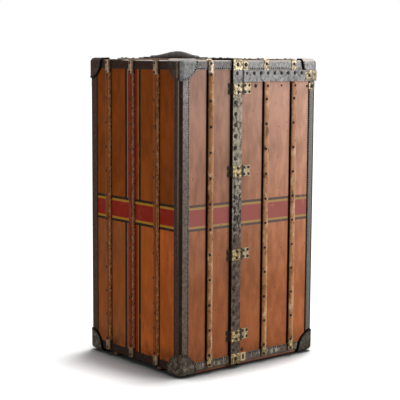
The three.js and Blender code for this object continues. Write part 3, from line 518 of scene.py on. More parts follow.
def side_slat_finish(colours):
    """Varnished slat of the hinge and lock sides: on the hinge side a rubbed shoulder with a painted
    highlight and a painted sheen, and black flanks of painted shade.
    """
    paint = Paint("slat_upright", Specular_IOR_Level=0.05)
    wood = wood_coat(paint, "Z", colours.slat_wood, colours.slat_wood_dark)
    stain = wood[1]
    brass, *metal_looks = tarnished_brass(paint, colours)
    side = paint.on_hinge_side()
    in_shade = side * along_slats(paint.x, SLAT_X.values(), 0.001, 0.016, 0.003)
    paint.lay(in_shade * paint.blend(paint.x.over(0.0), 0.28, 0.6), colours.slat_wood_dark)
    # Painted highlight along a rubbed shoulder of each hinge-side slat
    wear_and_highlight = side * along_slats(paint.x, SLAT_X.values(), -0.0125, -0.0060, 0.0008)
    paint.lay(wear_and_highlight * stain.stretch(0.3, 0.6, 1.0, 0.5), (0.58, 0.33, 0.19))
    # Painted sheen: hinge-side slats paler towards the top on their back half
    paint.lay(side * paint.x.under(0.0) * paint.z.stretch(0.3, 1.0, 0.0, 0.6), (0.50, 0.28, 0.19))
    blots = paint.noise(55.0, 5.0, 0.72, squeeze=(1, 1, 0.45))
    paint.lay(blots.over(0.585, 0.03) * 0.8, (0.09, 0.035, 0.014))
    paint.lay(blots.under(0.41, 0.02) * paint.blend(side, 0.15, 0.6), (0.72, 0.50, 0.33))
    # Painted sheen kept to the hinge side: the lock-side slats are shaded to 0.62
    paint.shade(paint.blend(side, 0.62, 1.0))
    # Painted shade: both flanks are near-black from the panel up to 6.8 mm, brass ends too, with some grime
    proud = (abs(paint.y) - PANEL_Y) | (abs(paint.x) - PANEL_X)
    root_shade_and_grime = proud.under(0.0068, 0.0012)
    paint.lay(root_shade_and_grime, (0.012, 0.006, 0.003))
    pale_brass = paint.ramp(metal_looks[-1], (0.4, (0.14, 0.105, 0.075)), (0.6, (0.50, 0.42, 0.33)))
    brass = paint.mix(paint.z.over(0.5) * 0.6, brass, pale_brass)
    brass = paint.mix(root_shade_and_grime * 0.92, brass, (0.012, 0.008, 0.005))
    return slat_dry(paint, wood, (brass, *metal_looks), upright_brass_ends(paint))


def broad_slat_finish(colours):
    """Slat of the broad faces: painted like the canvas, with one rubbed flank under a painted highlight and
    the other black with painted shade.
    """
    paint = Paint("slat_painted", Specular_IOR_Level=0.05)
    wood = wood_coat(paint, "Z", colours.slat_wood, colours.slat_wood_dark)
    grain = wood[0]
    brass, *metal_looks = tarnished_brass(paint, colours)
    paint.colour = paint.ramp(grain, (0.3, (0.10, 0.026, 0.0025)), (0.6, (0.20, 0.052, 0.006)))
    on_band = paint.y.between(BROAD_SLATS_Y[1] - 0.02, BROAD_SLATS_Y[1] + 0.02)
    paint.lay(on_band, paint.ramp(grain, (0.35, (0.10, 0.010, 0.004)), (0.6, (0.17, 0.022, 0.008)),
                                  (0.75, (0.30, 0.13, 0.07))))
    specks = paint.noise(60.0, 5.0, 0.7, squeeze=(1, 1, 0.3)).over(0.60, 0.03)
    paint.lay(specks, (0.03, 0.015, 0.008))
    proud = abs(paint.x) - PANEL_X
    # The flank towards the hinge side: rubbed, with pale flecks and a painted highlight
    flecks = paint.noise(190.0, 4.0, 0.7, squeeze=(1, 1, 0.5))
    flank = proud.under(0.0098, 0.0012) * along_slats(paint.y, BROAD_SLATS_Y, 0.006, 0.016)
    wear_and_highlight = paint.mix(paint.z.stretch(LOW_Z, HIGH_Z), (0.55, 0.22, 0.075), (0.48, 0.24, 0.115))
    rubbed = paint.mix(flecks.stretch(0.40, 0.55), (0.17, 0.070, 0.026), wear_and_highlight)
    paint.lay(flank, paint.mix(flecks.over(0.59, 0.03), rubbed, (0.62, 0.44, 0.27)))
    # Painted shade: the other flank is near-black up to 6 mm
    paint.lay(proud.under(0.006, 0.0012) * ~flank, (0.02, 0.01, 0.006))
    brass = paint.mix(0.75, brass, (0.125, 0.075, 0.045))
    return slat_dry(paint, wood, (brass, *metal_looks), upright_brass_ends(paint))


def top_slat_finish(colours):
    """Dark varnished slat across the top."""
    paint = Paint("slat_crossing", Specular_IOR_Level=0.05)
    wood = wood_coat(paint, "Y", colours.slat_wood, colours.slat_wood_dark)
    brass = tarnished_brass(paint, colours)
    paint.shade(0.3)
    return slat_dry(paint, wood, brass, abs(paint.y).over(HALF_Y - 0.005 - CLAMP_LENGTH))


def fitting_finish(colours):
    """Brass of clamps, lock cases and hasps. The slotted plates by the strip's feet are rubbed bright."""
    paint = Paint("fitting_brass", Specular_IOR_Level=0.3)
    paint.colour, metal, rough, tarnish = tarnished_brass(paint, colours)
    slotted_plates = paint.x.between(0.0135, 0.0410) * paint.z.under(0.054)
    paint.lay(slotted_plates * 0.75, (0.46, 0.36, 0.22))
    return paint.dry(rough, paint.bump(tarnish, 0.35, 0.0004), metal)


def strap_leaf_finish(colours):
    """Hinge leaf on the strip, bright on the strip, with painted shade at its barrel and on its foot."""
    paint = Paint("hinge_leaf_brass", Specular_IOR_Level=0.2)
    paint.colour, metal, rough, tarnish = tarnished_brass(paint, colours)
    # Painted shade: the foot beside the raised strip, and the barrel end with its knuckle gap, are near-black
    # and not metal
    foot = paint.x.over(STRIP_X[1] - 0.001, 0.0008)
    dark = (foot | paint.x.under(0.0545, 0.001)) * 0.9
    paint.lay(dark, (0.020, 0.015, 0.011))
    return paint.dry(paint.blend(foot, rough, 0.55), paint.bump(tarnish, 0.35, 0.0004), metal * ~dark)


def pin_leaf_finish(colours):
    """Hinge leaf on the panel, rubbed pale between its studs, with a black barrel of painted shade."""
    paint = Paint("pin_leaf_brass", Specular_IOR_Level=0.2)
    paint.colour, metal, rough, tarnish = tarnished_brass(paint, colours)
    # Painted shade: the barrel end is near-black and not metal, over the dark gap of the knuckles
    barrel = paint.x.over(0.0388, 0.0006)
    paint.lay(tarnish.stretch(0.3, 0.5, 0.25, 0.7), (0.27, 0.215, 0.14))
    paint.lay(barrel * 0.92, (0.016, 0.011, 0.008))
    return paint.dry(rough, paint.bump(tarnish, 0.35, 0.0004), metal * ~barrel)


def iron_finish(name, tint, rough):
    """Dark nails and studs, rubbed on their heads."""
    paint = Paint(name, Metallic=0.75)
    rub = paint.noise(240.0, 4.0, 0.6)
    paint.colour = paint.ramp(rub, (0.35, tinted(tint, 0.5)), (0.62, tint), (0.78, tinted(tint, 3.0)))
    return paint.dry(rub.stretch(0.3, 0.7, rough + 0.12, rough - 0.1))


def steel_finish():
    """Dull steel of the rail and the trolley, with a little rust."""
    paint = Paint("rail_steel", Metallic=1.0)
    streaks = paint.noise(8.0, 4.0, squeeze=(2, 70, 70))
    rust = paint.noise(60.0, 5.0, 0.65).stretch(0.6, 0.72, 0.0, 0.7)
    paint.colour = paint.ramp(streaks, (0.3, (0.17, 0.17, 0.165)), (0.7, (0.34, 0.34, 0.33)))
    paint.lay(rust, (0.12, 0.07, 0.04))
    return paint.dry(streaks.stretch(0.3, 0.7, 0.24, 0.42), paint.bump(streaks, 0.15, 0.0003))


def skid_finish(colours):
    """Red-brown runners with painted shade on their lower part and a rubbed pale upper edge."""
    paint = Paint("skid_wood", Specular_IOR_Level=0.15)
    grain, stain = wood_coat(paint, "X", colours.skid_wood, tinted(colours.skid_wood, 0.4))
    # Painted shade: the runners are near-black below 7.8 mm
    paint.lay(paint.z.under(0.0078, 0.0014) * 0.92, (0.012, 0.008, 0.006))
    edge = paint.z.over(0.0105, 0.0012) * abs(paint.y).over(0.2605, 0.0006)
    bare = paint.mix(paint.x.stretch(-0.1, 0.25), (0.30, 0.19, 0.13), (0.13, 0.08, 0.05))
    paint.lay(edge * stain.stretch(0.35, 0.6, 1.0, 0.35), bare)
    return paint.dry(stain.stretch(0.3, 0.7, 0.45, 0.7), paint.bump(grain, 0.5, 0.0008))


def chest_finish(colours):
    """Cloth-covered chest with raw wood edges at its front."""
    paint = Paint("chest_wood", Specular_IOR_Level=0.4)
    grain, stain = wood_coat(paint, "Y", colours.inner_wood, tinted(colours.inner_wood, 0.55))
    covered = paint.x.over(0.0675, 0.0004)
    mottle = paint.noise(9.0, 5.0).stretch(0.35, 0.75, 0.0, 0.35)
    paint.lay(covered, paint.mix(mottle, colours.lining, (0.2, 0.12, 0.06)))
    relief = paint.bump(weave(paint, 0.0016), 0.25, 0.0002, paint.bump(grain, 0.3, 0.0005))
    return paint.dry(paint.blend(covered, stain.stretch(0.3, 0.7, 0.4, 0.6), 0.9), relief)


def drawer_finish(colours):
    """Drawers covered with cloth, with a striped front, a leather pull and its brass boss."""
    paint = Paint("drawer_cloth")
    pull = paint.x.under(0.0652, 0.0001)
    boss = paint.x.under(0.0613, 0.0001)
    front = paint.x.under(0.0662, 0.0001) * ~pull
    mottle = paint.noise(30.0, 5.0, 0.6).stretch(0.35, 0.75, 0.0, 0.3)
    paint.colour = paint.mix(mottle, colours.lining, (0.24, 0.15, 0.075))
    paint.lay(front * stripes(paint, paint.y), tinted(colours.lining, 0.55))
    paint.lay(pull, paint.ramp(paint.noise(45.0, 5.0, 0.65), (0.3, (0.03, 0.014, 0.008)),
                               (0.7, (0.14, 0.06, 0.028))))
    brass, metal, brass_rough, _ = tarnished_brass(paint, colours)
    paint.lay(boss, brass)
    rough = paint.blend(boss, paint.blend(pull, 0.9, 0.45), brass_rough)
    creases = paint.bump(paint.cells(420.0), 0.25, 0.0003)
    return paint.dry(rough, paint.bump(weave(paint, 0.0016) * ~pull, 0.25, 0.0002, creases), boss * metal)


def hanger_finish():
    """Varnished wood of the coat hangers."""
    paint = Paint("hanger_wood", Specular_IOR_Level=0.5)
    grain, stain = wood_coat(paint, "Y", (0.44, 0.25, 0.11), (0.21, 0.10, 0.04))
    return paint.dry(stain.stretch(0.3, 0.7, 0.3, 0.5), paint.bump(grain, 0.3, 0.0005))


def leather_finish(name, light, dark):
    """Dark hide, creased and rubbed."""
    paint = Paint(name, Specular_IOR_Level=0.5)
    rubbed = paint.noise(38.0, 6.0, 0.7)
    paint.colour = paint.ramp(rubbed, (0.36, dark), (0.55, light), (0.72, tinted(light, 2.6)))
    creases = paint.bump(paint.cells(260.0, squeeze=(1, 0.6, 1)), 0.4, 0.0005)
    return paint.dry(rubbed.stretch(0.3, 0.7, 0.62, 0.38), paint.bump(rubbed, 0.6, 0.0012, creases))


def thread_finish():
    """Waxed linen thread of the handle's seams."""
    paint = Paint("linen_thread")
    paint.colour = paint.ramp(paint.noise(300.0, 3.0), (0.3, (0.16, 0.12, 0.08)), (0.7, (0.42, 0.35, 0.25)))
    return paint.dry(paint.noise(500.0).stretch(0.3, 0.7, 0.7, 0.9))


# Mesh helpers
def new_object(name, data, material=None):
    thing = bpy.data.objects.new(name, data)
    bpy.context.scene.collection.objects.link(thing)
    if material is not None:
        data.materials.clear()
        data.materials.append(material)
    return thing


def evaluated_mesh(thing):
    """A plain mesh of what an object comes to, with the object taken away."""
    bpy.context.view_layer.update()
    graph = bpy.context.evaluated_depsgraph_get()
    mesh = bpy.data.meshes.new_from_object(thing.evaluated_get(graph))
    bpy.data.objects.remove(thing)
    return mesh


def poured(work, name):
    """A new mesh out of a bmesh, which is freed."""
    mesh = bpy.data.meshes.new(name)
    work.to_mesh(mesh)
    work.free()
    return mesh


def joined(name, meshes, material):
    """One object out of several meshes."""
    work = bmesh.new()
    for mesh in meshes:
        work.from_mesh(mesh)
        bpy.data.meshes.remove(mesh)
    bmesh.ops.recalc_face_normals(work, faces=work.faces)
    result = poured(work, name)
    result.shade_smooth()
    result.set_sharp_from_angle(angle=math.radians(35))
    return new_object(name, result, material)


def sheet_plate(loops, thickness, bevel=0.0003):
    """A plate cut to one or more closed outlines in X and Y, standing on Z = 0; inner loops are holes."""
    curve = bpy.data.curves.new("plate", "CURVE")
    curve.dimensions = "2D"
    curve.fill_mode = "BOTH"
    curve.extrude = thickness / 2 - bevel
    curve.bevel_depth = bevel
    curve.bevel_resolution = 1
    curve.offset = -bevel
    for loop in loops:
        spline = curve.splines.new("POLY")
        spline.points.add(len(loop) - 1)
        for point, (x, y) in zip(spline.points, loop):
            point.co = (x, y, 0, 1)
        spline.use_cyclic_u = True
    mesh = evaluated_mesh(new_object("plate", curve))
    bpy.data.curves.remove(curve)
    mesh.transform(Matrix.Translation((0, 0, thickness / 2)))
    work = bmesh.new()
    work.from_mesh(mesh)
    bmesh.ops.remove_doubles(work, verts=work.verts, dist=1e-6)
    work.to_mesh(mesh)
    work.free()
    return mesh


def laid(mesh, origin, right, outward):
    """Turns a plate from X, Y and Z to the face whose right and outward directions are given."""
    up = outward.cross(right)
    turn = Matrix((right, up, outward)).transposed().to_4x4()
    mesh.transform(Matrix.Translation(origin) @ turn)
    return mesh


def arc(centre, radii, start, end, steps):
    """Points of an arc between two angles, counted in quarter turns."""
    angles = [math.pi / 2 * (start + (end - start) * i / steps) for i in range(steps + 1)]
    return [(centre[0] + radii[0] * math.cos(angle), centre[1] + radii[1] * math.sin(angle))
            for angle in angles]


def rounded(width, height, radius, steps=4):
    """Outline of a rounded rectangle about the origin."""
    a, b = width / 2 - radius, height / 2 - radius
    centres = ((a, b), (-a, b), (-a, -b), (a, -b))
    return [point for turn, centre in enumerate(centres)
            for point in arc(centre, (radius, radius), turn, turn + 1, steps)]


def profile_bar(points, low, high):
    """A closed profile in Y and Z, run along X from low to high."""
    work = bmesh.new()
    start, end = ([work.verts.new((x, y, z)) for y, z in points] for x in (low, high))
    work.faces.new(start)
    work.faces.new(end[::-1])
    for i in range(len(points)):
        work.faces.new((start[i - 1], end[i - 1], end[i], start[i]))
    bmesh.ops.recalc_face_normals(work, faces=work.faces)
    return poured(work, "bar")


# Fastenings by Geometry Nodes
HEAD_INPUTS = (("Spacing", "Float", 0.01), ("Head Radius", "Float", 0.003), ("Head Height", "Float", 0.0015),
               ("Size Spread", "Float", 0.08), ("Place Spread", "Float", 0.0), ("Seed", "Int", 3),
               ("Material", "Material", None))
WASHER_WIDTH = 1.28
WASHER_HEIGHT = 0.28


def head_tree(name, sides, rings, along, rim=False):
    """Domed heads set along the edges of a guide, or on its points, each facing the guide's direction."""
    tree = bpy.data.node_groups.new(name, "GeometryNodeTree")
    for way in ("INPUT", "OUTPUT"):
        tree.interface.new_socket(name="Geometry", in_out=way, socket_type="NodeSocketGeometry")
    for label, kind, value in HEAD_INPUTS:
        socket = tree.interface.new_socket(name=label, in_out="INPUT", socket_type=f"NodeSocket{kind}")
        if value is not None:
            socket.default_value = value
    given = tree.nodes.new("NodeGroupInput").outputs
    radius, height = given["Head Radius"], given["Head Height"]

    def add(kind, inputs, **settings):
        return added(tree, kind, inputs, **settings).outputs[0]

    def scaled(value, factor, offset=0.0):
        return add("ShaderNodeMath", {0: value, 1: factor, 2: offset}, operation="MULTIPLY_ADD")

    def random_about(centre, spread, kind):
        value = added(tree, "FunctionNodeRandomValue", data_type=kind)
        sockets = {socket.name: socket for socket in value.inputs if socket.enabled}
        feed(tree, sockets["Min"], scaled(spread, -1, centre))
        feed(tree, sockets["Max"], scaled(spread, 1, centre))
        feed(tree, sockets["Seed"], given["Seed"])
        return next(socket for socket in value.outputs if socket.enabled)

    places = given["Geometry"]
    if along:
        curve = add("GeometryNodeMeshToCurve", {"Mesh": places})
        places = add("GeometryNodeResampleCurve", {"Curve": curve, "Length": given["Spacing"]}, mode="LENGTH")
    places = add("GeometryNodeSetPosition", {
        "Geometry": places, "Offset": random_about(0, given["Place Spread"], "FLOAT_VECTOR")})
    ball = add("GeometryNodeMeshUVSphere", {"Segments": sides, "Rings": rings, "Radius": radius})
    ratio = add("ShaderNodeMath", {0: height, 1: radius}, operation="DIVIDE")
    flat = add("ShaderNodeCombineXYZ", {0: 1, 1: 1, 2: ratio})
    head = add("GeometryNodeTransform", {"Geometry": ball, "Scale": flat})
    if rim:
        washer = add("GeometryNodeMeshCone", {
            "Vertices": sides, "Radius Top": radius, "Radius Bottom": scaled(radius, WASHER_WIDTH),
            "Depth": scaled(height, WASHER_HEIGHT)})
        both = added(tree, "GeometryNodeJoinGeometry", {0: washer})
        feed(tree, both.inputs[0], head)
        head = both.outputs[0]
    facing = added(tree, "GeometryNodeInputNamedAttribute", {"Name": "facing"}, data_type="FLOAT_VECTOR")
    turn = add("FunctionNodeAlignRotationToVector", {"Vector": facing.outputs["Attribute"]}, axis="Z")
    heads = add("GeometryNodeInstanceOnPoints", {
        "Points": places, "Instance": head, "Rotation": turn,
        "Scale": random_about(1, given["Size Spread"], "FLOAT")})
    real = add("GeometryNodeRealizeInstances", {0: heads})
    smooth = add("GeometryNodeSetShadeSmooth", {0: real})
    painted = add("GeometryNodeSetMaterial", {"Geometry": smooth, "Material": given["Material"]})
    added(tree, "NodeGroupOutput", {0: painted})
    return tree


def line(facing, *places):
    """A run of points that face one way."""
    return [(place, facing) for place in places]


def spots(facing, *places):
    """A run of one point for each place."""
    return [line(facing, place) for place in places]


def guide_mesh(runs):
    """Edges through each run of (point, facing) pairs; a run of one point stays a loose point."""
    points, edges, facings = [], [], []
    for run in runs:
        first = len(points)
        points += [point for point, _ in run]
        facings += [facing for _, facing in run]
        edges += [(first + i, first + i + 1) for i in range(len(run) - 1)]
    mesh = bpy.data.meshes.new("guide")
    mesh.from_pydata(points, edges, [])
    attribute = mesh.attributes.new("facing", "FLOAT_VECTOR", "POINT")
    attribute.data.foreach_set("vector", [part for facing in facings for part in facing])
    return mesh


def carried(piece, body):
    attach(piece, body)
    return piece


def grown(name, runs, tree, body, slot="brass", **inputs):
    """Runs a tree on a guide, keeps the result as a plain mesh and rides it on a body."""
    guide = new_object("guide", guide_mesh(runs))
    modifier = guide.modifiers.new("fastenings", "NODES")
    modifier.node_group = tree
    values = {key.replace("_", " ").title(): value for key, value in inputs.items()}
    for item in tree.interface.items_tree:
        if item.in_out == "INPUT" and item.name in values:
            modifier[item.identifier] = values[item.name]
    mesh = evaluated_mesh(guide)
    if not mesh.polygons:
        raise RuntimeError(f"{name} came out empty")
    if "facing" in mesh.attributes:
        mesh.attributes.remove(mesh.attributes["facing"])
    return carried(new_object(name, mesh), body)


def finish(name):
    """A finish made by the finishes operator."""
    material = bpy.data.materials.get(name)
    if material is None:
        raise RuntimeError(f"the finish {name} isn't made yet")
    return material


# Settings
def length(name, description, default, least=0.0005):
    return bpy.props.FloatProperty(name=name, description=description, default=default, min=least,
                                   unit="LENGTH")


def tint(name, description, default):
    return bpy.props.FloatVectorProperty(name=name, description=description, default=default, size=3,
                                         subtype="COLOR")


class TrunkSizes(bpy.types.PropertyGroup):
    """Sizes of the fastenings and trims."""
    tack_spacing: length("Tack spacing", "Distance between the small tacks along the borders", 0.0089, 0.003)
    tack_radius: length("Tack radius", "Radius of a border tack's head", 0.0033)
    slat_nail_spacing: length("Slat nail spacing", "Distance between the nails along a slat", 0.0905, 0.01)
    slat_nail_radius: length("Slat nail radius", "Radius of a slat nail's head", 0.0053)
    stud_spacing: length("Stud spacing", "Distance between the studs of the seam strip", 0.0391, 0.01)
    stud_radius: length("Stud radius", "Radius of a strip stud's dome", 0.0063)
    clamp_thickness: length("Clamp thickness", "Thickness of the small brass clamps", 0.0013, 0.0008)


class TrunkColours(bpy.types.PropertyGroup):
    """Base colours of the finishes."""
    canvas: tint("Canvas", "Middle tone of the varnished canvas", (0.230, 0.066, 0.018))
    canvas_dark: tint("Dark canvas", "Darkened places of the canvas", (0.172, 0.038, 0.0036))
    canvas_light: tint("Light canvas", "Worn places of the canvas", (0.365, 0.085, 0.016))
    fibre: tint("Fibre", "Edging and corner pieces", (0.052, 0.027, 0.018))
    strip: tint("Strip", "Light parts of the studded strips", (0.27, 0.235, 0.175))
    slat_wood: tint("Slat wood", "Light grain of the slats", (0.47, 0.235, 0.105))
    slat_wood_dark: tint("Dark slat wood", "Dark grain of the slats", (0.22, 0.09, 0.035))
    skid_wood: tint("Skid wood", "Runners under the trunk", (0.24, 0.075, 0.038))
    inner_wood: tint("Inner wood", "Front edges of the drawer chest", (0.42, 0.25, 0.12))
    lining: tint("Lining", "Cloth inside the trunk and on the drawers", (0.46, 0.34, 0.20))
    brass: tint("Brass", "Clamps, hinges and locks", (0.178, 0.130, 0.060))


# Operators
def numbered(name, count):
    return tuple(f"{name}_{number}" for number in range(1, count + 1))


class TRUNK_OT_finishes(bpy.types.Operator):
    """Make every finish and put it on the carried-over solids"""
    bl_idname = "trunk.finishes"
    bl_label = "Finishes"

    def execute(self, context):
        colours = context.scene.trunk_colours
        iron_finish("stud_iron", (0.022, 0.019, 0.016), 0.36)
        iron_finish("tack_iron", (0.012, 0.010, 0.009), 0.5)
        leather_finish("binding_leather", (0.10, 0.045, 0.022), (0.03, 0.013, 0.007))
        thread_finish()
        hasps = tuple(f"{place}_hasp{part}" for part in ("_plate", "") for place in HASP_Z)
        cases = ("lock_case", "lower_latch_case", "upper_latch_case")
        nodes_of = {
            canvas_finish(colours): ("hanging_case", "lid_case", "drawer_case"),
            fibre_finish(colours): ("hanging_edging", "lid_edging", "drawer_half_edging"),
            strip_finish(colours): ("lid_strip", "seam_strip"),
            side_slat_finish(colours): (*numbered("hinge_side_slat", 3), *numbered("lock_side_slat", 3)),
            broad_slat_finish(colours): (*numbered("front_slat", 3), *numbered("back_slat", 3)),
            top_slat_finish(colours): ("lid_top_slat_2", "lid_top_slat_3", "top_slat_1"),
            fitting_finish(colours): ("lid_hinge_pin_leaf", "lid_hinge_leaf", *cases, *hasps),
            strap_leaf_finish(colours): numbered("hinge_strap_leaf", 4),
            pin_leaf_finish(colours): numbered("hinge_pin_leaf", 4),
            hanger_finish(): numbered("coat_hanger", 4),
            steel_finish(): ("hanger_rail", "hanger_trolley"),
            skid_finish(colours): ("hanging_skid_frame", "drawer_half_skid_frame"),
            chest_finish(colours): ("drawer_chest",),
            drawer_finish(colours): numbered("drawer", 5),
            leather_finish("handle_leather", (0.040, 0.034, 0.028), (0.010, 0.009, 0.008)): ("top_handle",),
            iron_finish("keeper_iron", (0.035, 0.029, 0.022), 0.45): numbered("handle_keeper", 2),
        }
        left = set(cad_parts)
        for material, nodes in nodes_of.items():
            for node in nodes:
                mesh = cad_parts[node].data
                mesh.materials.clear()
                mesh.materials.append(material)
                left.remove(node)
        if left:
            raise RuntimeError(f"no finish for {sorted(left)}")
        return {"FINISHED"}


BODIES = ("drawer_half", "hanging_half", "lid")


def region_of(x, z):
    """The body whose border a point of the outside lies on, or None over a strip."""
    if x > STRIP_X[1] + CLEARANCE:
        return "drawer_half"
    if x < LID_STRIP_X[1] + CLEARANCE and z > LID_STRIP_Z[1] + CLEARANCE:
        return "lid"
    if x < LID_STRIP_X[1] + CLEARANCE and z < LID_STRIP_Z[0] - TACK_CLEARANCE:
        return "hanging_half"
    return None


def near_slat(normal, x, y):
    """Whether a point lies under the end of a slat."""
    if abs(normal.y) > 0.5 or normal.z > 0.5:
        return any(abs(x - place) < SLAT_HALF + CLEARANCE for place in SLAT_X.values())
    return any(abs(y - place) < SLAT_HALF + CLEARANCE for place in BROAD_SLATS_Y)


def near_cap(x, y, z):
    """Whether a point lies on or beside a corner piece."""
    return math.dist((abs(x), abs(y), abs(z - MIDDLE_Z)), (HALF_X, HALF_Y, HALF_Z)) <= CAP_REACH + 0.003


def window_path(across, along, step=0.002):
    """Closely spaced points round a rectangle with the corners of a panel's window."""
    (a0, a1), (b0, b1) = across, along
    r = WINDOW_RADIUS
    centres = ((a1 - r, b1 - r), (a0 + r, b1 - r), (a0 + r, b0 + r), (a1 - r, b0 + r))
    outline = [point for turn, centre in enumerate(centres)
               for point in arc(centre, (r, r), turn, turn + 1, 8)]
    path = []
    for start, end in zip(outline, outline[1:] + outline[:1]):
        count = max(1, round(math.dist(start, end) / step))
        path += [tuple(s + (e - s) * i / count for s, e in zip(start, end)) for i in range(count)]
    return path


def border_runs():
    """Tack lines round the inner edge of each border and along the edge of each corner piece."""
    runs = {body: [] for body in BODIES}
    inset = 0.0046
    cap_reach = CAP_REACH - 0.0055
    face_x, face_y, face_z = (half + 0.0001 for half in (HALF_X, HALF_Y, HIGH_Z))
    span_x = (-HALF_X + BACK_BORDER - inset, HALF_X - BORDER + inset)
    span_y = (-HALF_Y + BORDER - inset, HALF_Y - BORDER + inset)
    span_z = (LOW_Z + LOW_BORDER - inset, HIGH_Z - TOP_BORDER + inset)
    cap_arc = arc((0, 0), (cap_reach, cap_reach), 0.06, 0.94, 40)

    def follow(points, normal, beside_caps=False):
        """Adds the stretches of a path that lie on one body, clear of the slats and, if told, of the caps."""
        owner = None
        for point in points:
            x, y, z = point
            hidden = near_slat(normal, x, y) or (beside_caps and near_cap(x, y, z))
            body = None if hidden else region_of(x, z)
            if body != owner and body:
                runs[body].append([])
            owner = body
            if body:
                runs[body][-1].append((point, normal))

    for sign in (1, -1):
        on_x, on_y = Vector((sign, 0, 0)), Vector((0, sign, 0))
        follow([(sign * face_x, y, z) for y, z in window_path(span_y, span_z)], on_x, True)
        follow([(x, sign * face_y, z) for x, z in window_path(span_x, span_z)], on_y, True)
        for side in (1, -1):
            for edge, inward in ((LOW_Z, 1), (HIGH_Z, -1)):
                follow([(sign * (face_x + CAP_PROUD), side * (HALF_Y - a), edge + inward * b)
                        for a, b in cap_arc], on_x)
                follow([(side * (HALF_X - a), sign * (face_y + CAP_PROUD), edge + inward * b)
                        for a, b in cap_arc], on_y)
    follow([(x, y, face_z) for x, y in window_path(span_x, span_y)], UP, True)
    for side in (1, -1):
        for end in (1, -1):
            follow([(side * (HALF_X - a), end * (HALF_Y - b), face_z + CAP_PROUD) for a, b in cap_arc], UP)
    return {body: [run for run in lines if len(run) > 2] for body, lines in runs.items()}


class TRUNK_OT_border_tacks(bpy.types.Operator):
    """Set the small tacks along the borders and the corner pieces"""
    bl_idname = "trunk.border_tacks"
    bl_label = "Border tacks"

    def execute(self, context):
        sizes = context.scene.trunk_sizes
        tree = head_tree("border_tacks", 6, 3, along=True)
        for body, runs in border_runs().items():
            grown(f"{body}_border_tacks", runs, tree, body, spacing=sizes.tack_spacing,
                  head_radius=sizes.tack_radius, head_height=0.0007, size_spread=0.18,
                  place_spread=0.00035, seed=11, material=finish("tack_iron"))
        return {"FINISHED"}


def slat_crown(offset):
    """Height of a slat's crown above the panel, off its middle line."""
    return SLAT_SHOULDER + SLAT_CROWN * math.sqrt(1 - (offset / CROWN_HALF_WIDTH) ** 2)


def slat_nail_runs():
    """Lines of nails along the slats, a little off their middle, and the nails through their brass ends."""
    lines = {body: [] for body in BODIES}
    single = {body: [] for body in BODIES}
    off, sheet = 0.0045, 0.0012
    high = PANEL_Y + slat_crown(off)
    for name, x in SLAT_X.items():
        body, span, ends_z = "hanging_half", (0.1586, 0.9780), (0.033, 0.0675)
        if name == "first":
            body, span, ends_z = "drawer_half", (0.1601, 0.9754), (0.0335, 0.0695, 1.066, 1.105)
        for normal in (HINGE_SIDE, LOCK_SIDE):
            lines[body].append(line(normal, *[(x + off, normal.y * high, z) for z in span]))
            single[body] += spots(normal, *[(x + off, normal.y * (high + sheet), z) for z in ends_z])
    for y in BROAD_SLATS_Y:
        for normal, body, top, ends_z in ((FRONT, "drawer_half", 0.9754, (0.0335, 0.0695, 1.072, 1.105)),
                                          (BACK, "hanging_half", 0.8848, (0.0335, 0.0695, 0.966, 0.998))):
            x = normal.x * (PANEL_X + slat_crown(off))
            lines[body].append(line(normal, *[(x, y - off, z) for z in (0.1601, top)]))
            x = normal.x * (PANEL_X + slat_crown(0) + sheet)
            single[body] += spots(normal, *[(x, y, z) for z in ends_z])
    z = TOP_PANEL_Z + SLAT_SHOULDER
    for name, x in SLAT_X.items():
        body = "drawer_half" if name == "first" else "lid"
        lines[body].append(line(UP, *[(x, y, z) for y in (-0.181, 0.181)]))
        single[body] += spots(UP, *[(x, y, z + sheet) for y in (-0.252, -0.226, 0.226, 0.252)])
        if body == "lid":
            for normal in (HINGE_SIDE, LOCK_SIDE):
                single[body] += spots(normal, (x, normal.y * 0.2735, 1.103))
    return lines, single


class TRUNK_OT_slat_nails(bpy.types.Operator):
    """Set the nails along the slats and through their brass ends"""
    bl_idname = "trunk.slat_nails"
    bl_label = "Slat nails"

    def execute(self, context):
        sizes = context.scene.trunk_sizes
        along = head_tree("slat_nails", 10, 5, along=True)
        single = head_tree("slat_end_nails", 10, 5, along=False)
        lines, points = slat_nail_runs()
        nail = {"head_radius": sizes.slat_nail_radius, "head_height": 0.0019, "size_spread": 0.12,
                "place_spread": 0.0008, "seed": 5, "material": finish("tack_iron")}
        for body, runs in lines.items():
            grown(f"{body}_slat_nails", runs, along, body, spacing=sizes.slat_nail_spacing, **nail)
        for body, runs in points.items():
            grown(f"{body}_slat_end_nails", runs, single, body, **nail)
        return {"FINISHED"}


# Spans of studs up the seam strip, between the hinge leaves on one side and the hasp plates on the other
HINGE_SIDE_SPANS = ((0.767, 0.967), (0.472, 0.668), (0.168, 0.380))
LOCK_SIDE_SPANS = ((0.070, 0.248), (0.300, 0.539), (0.599, 0.838), (0.890, 1.060))


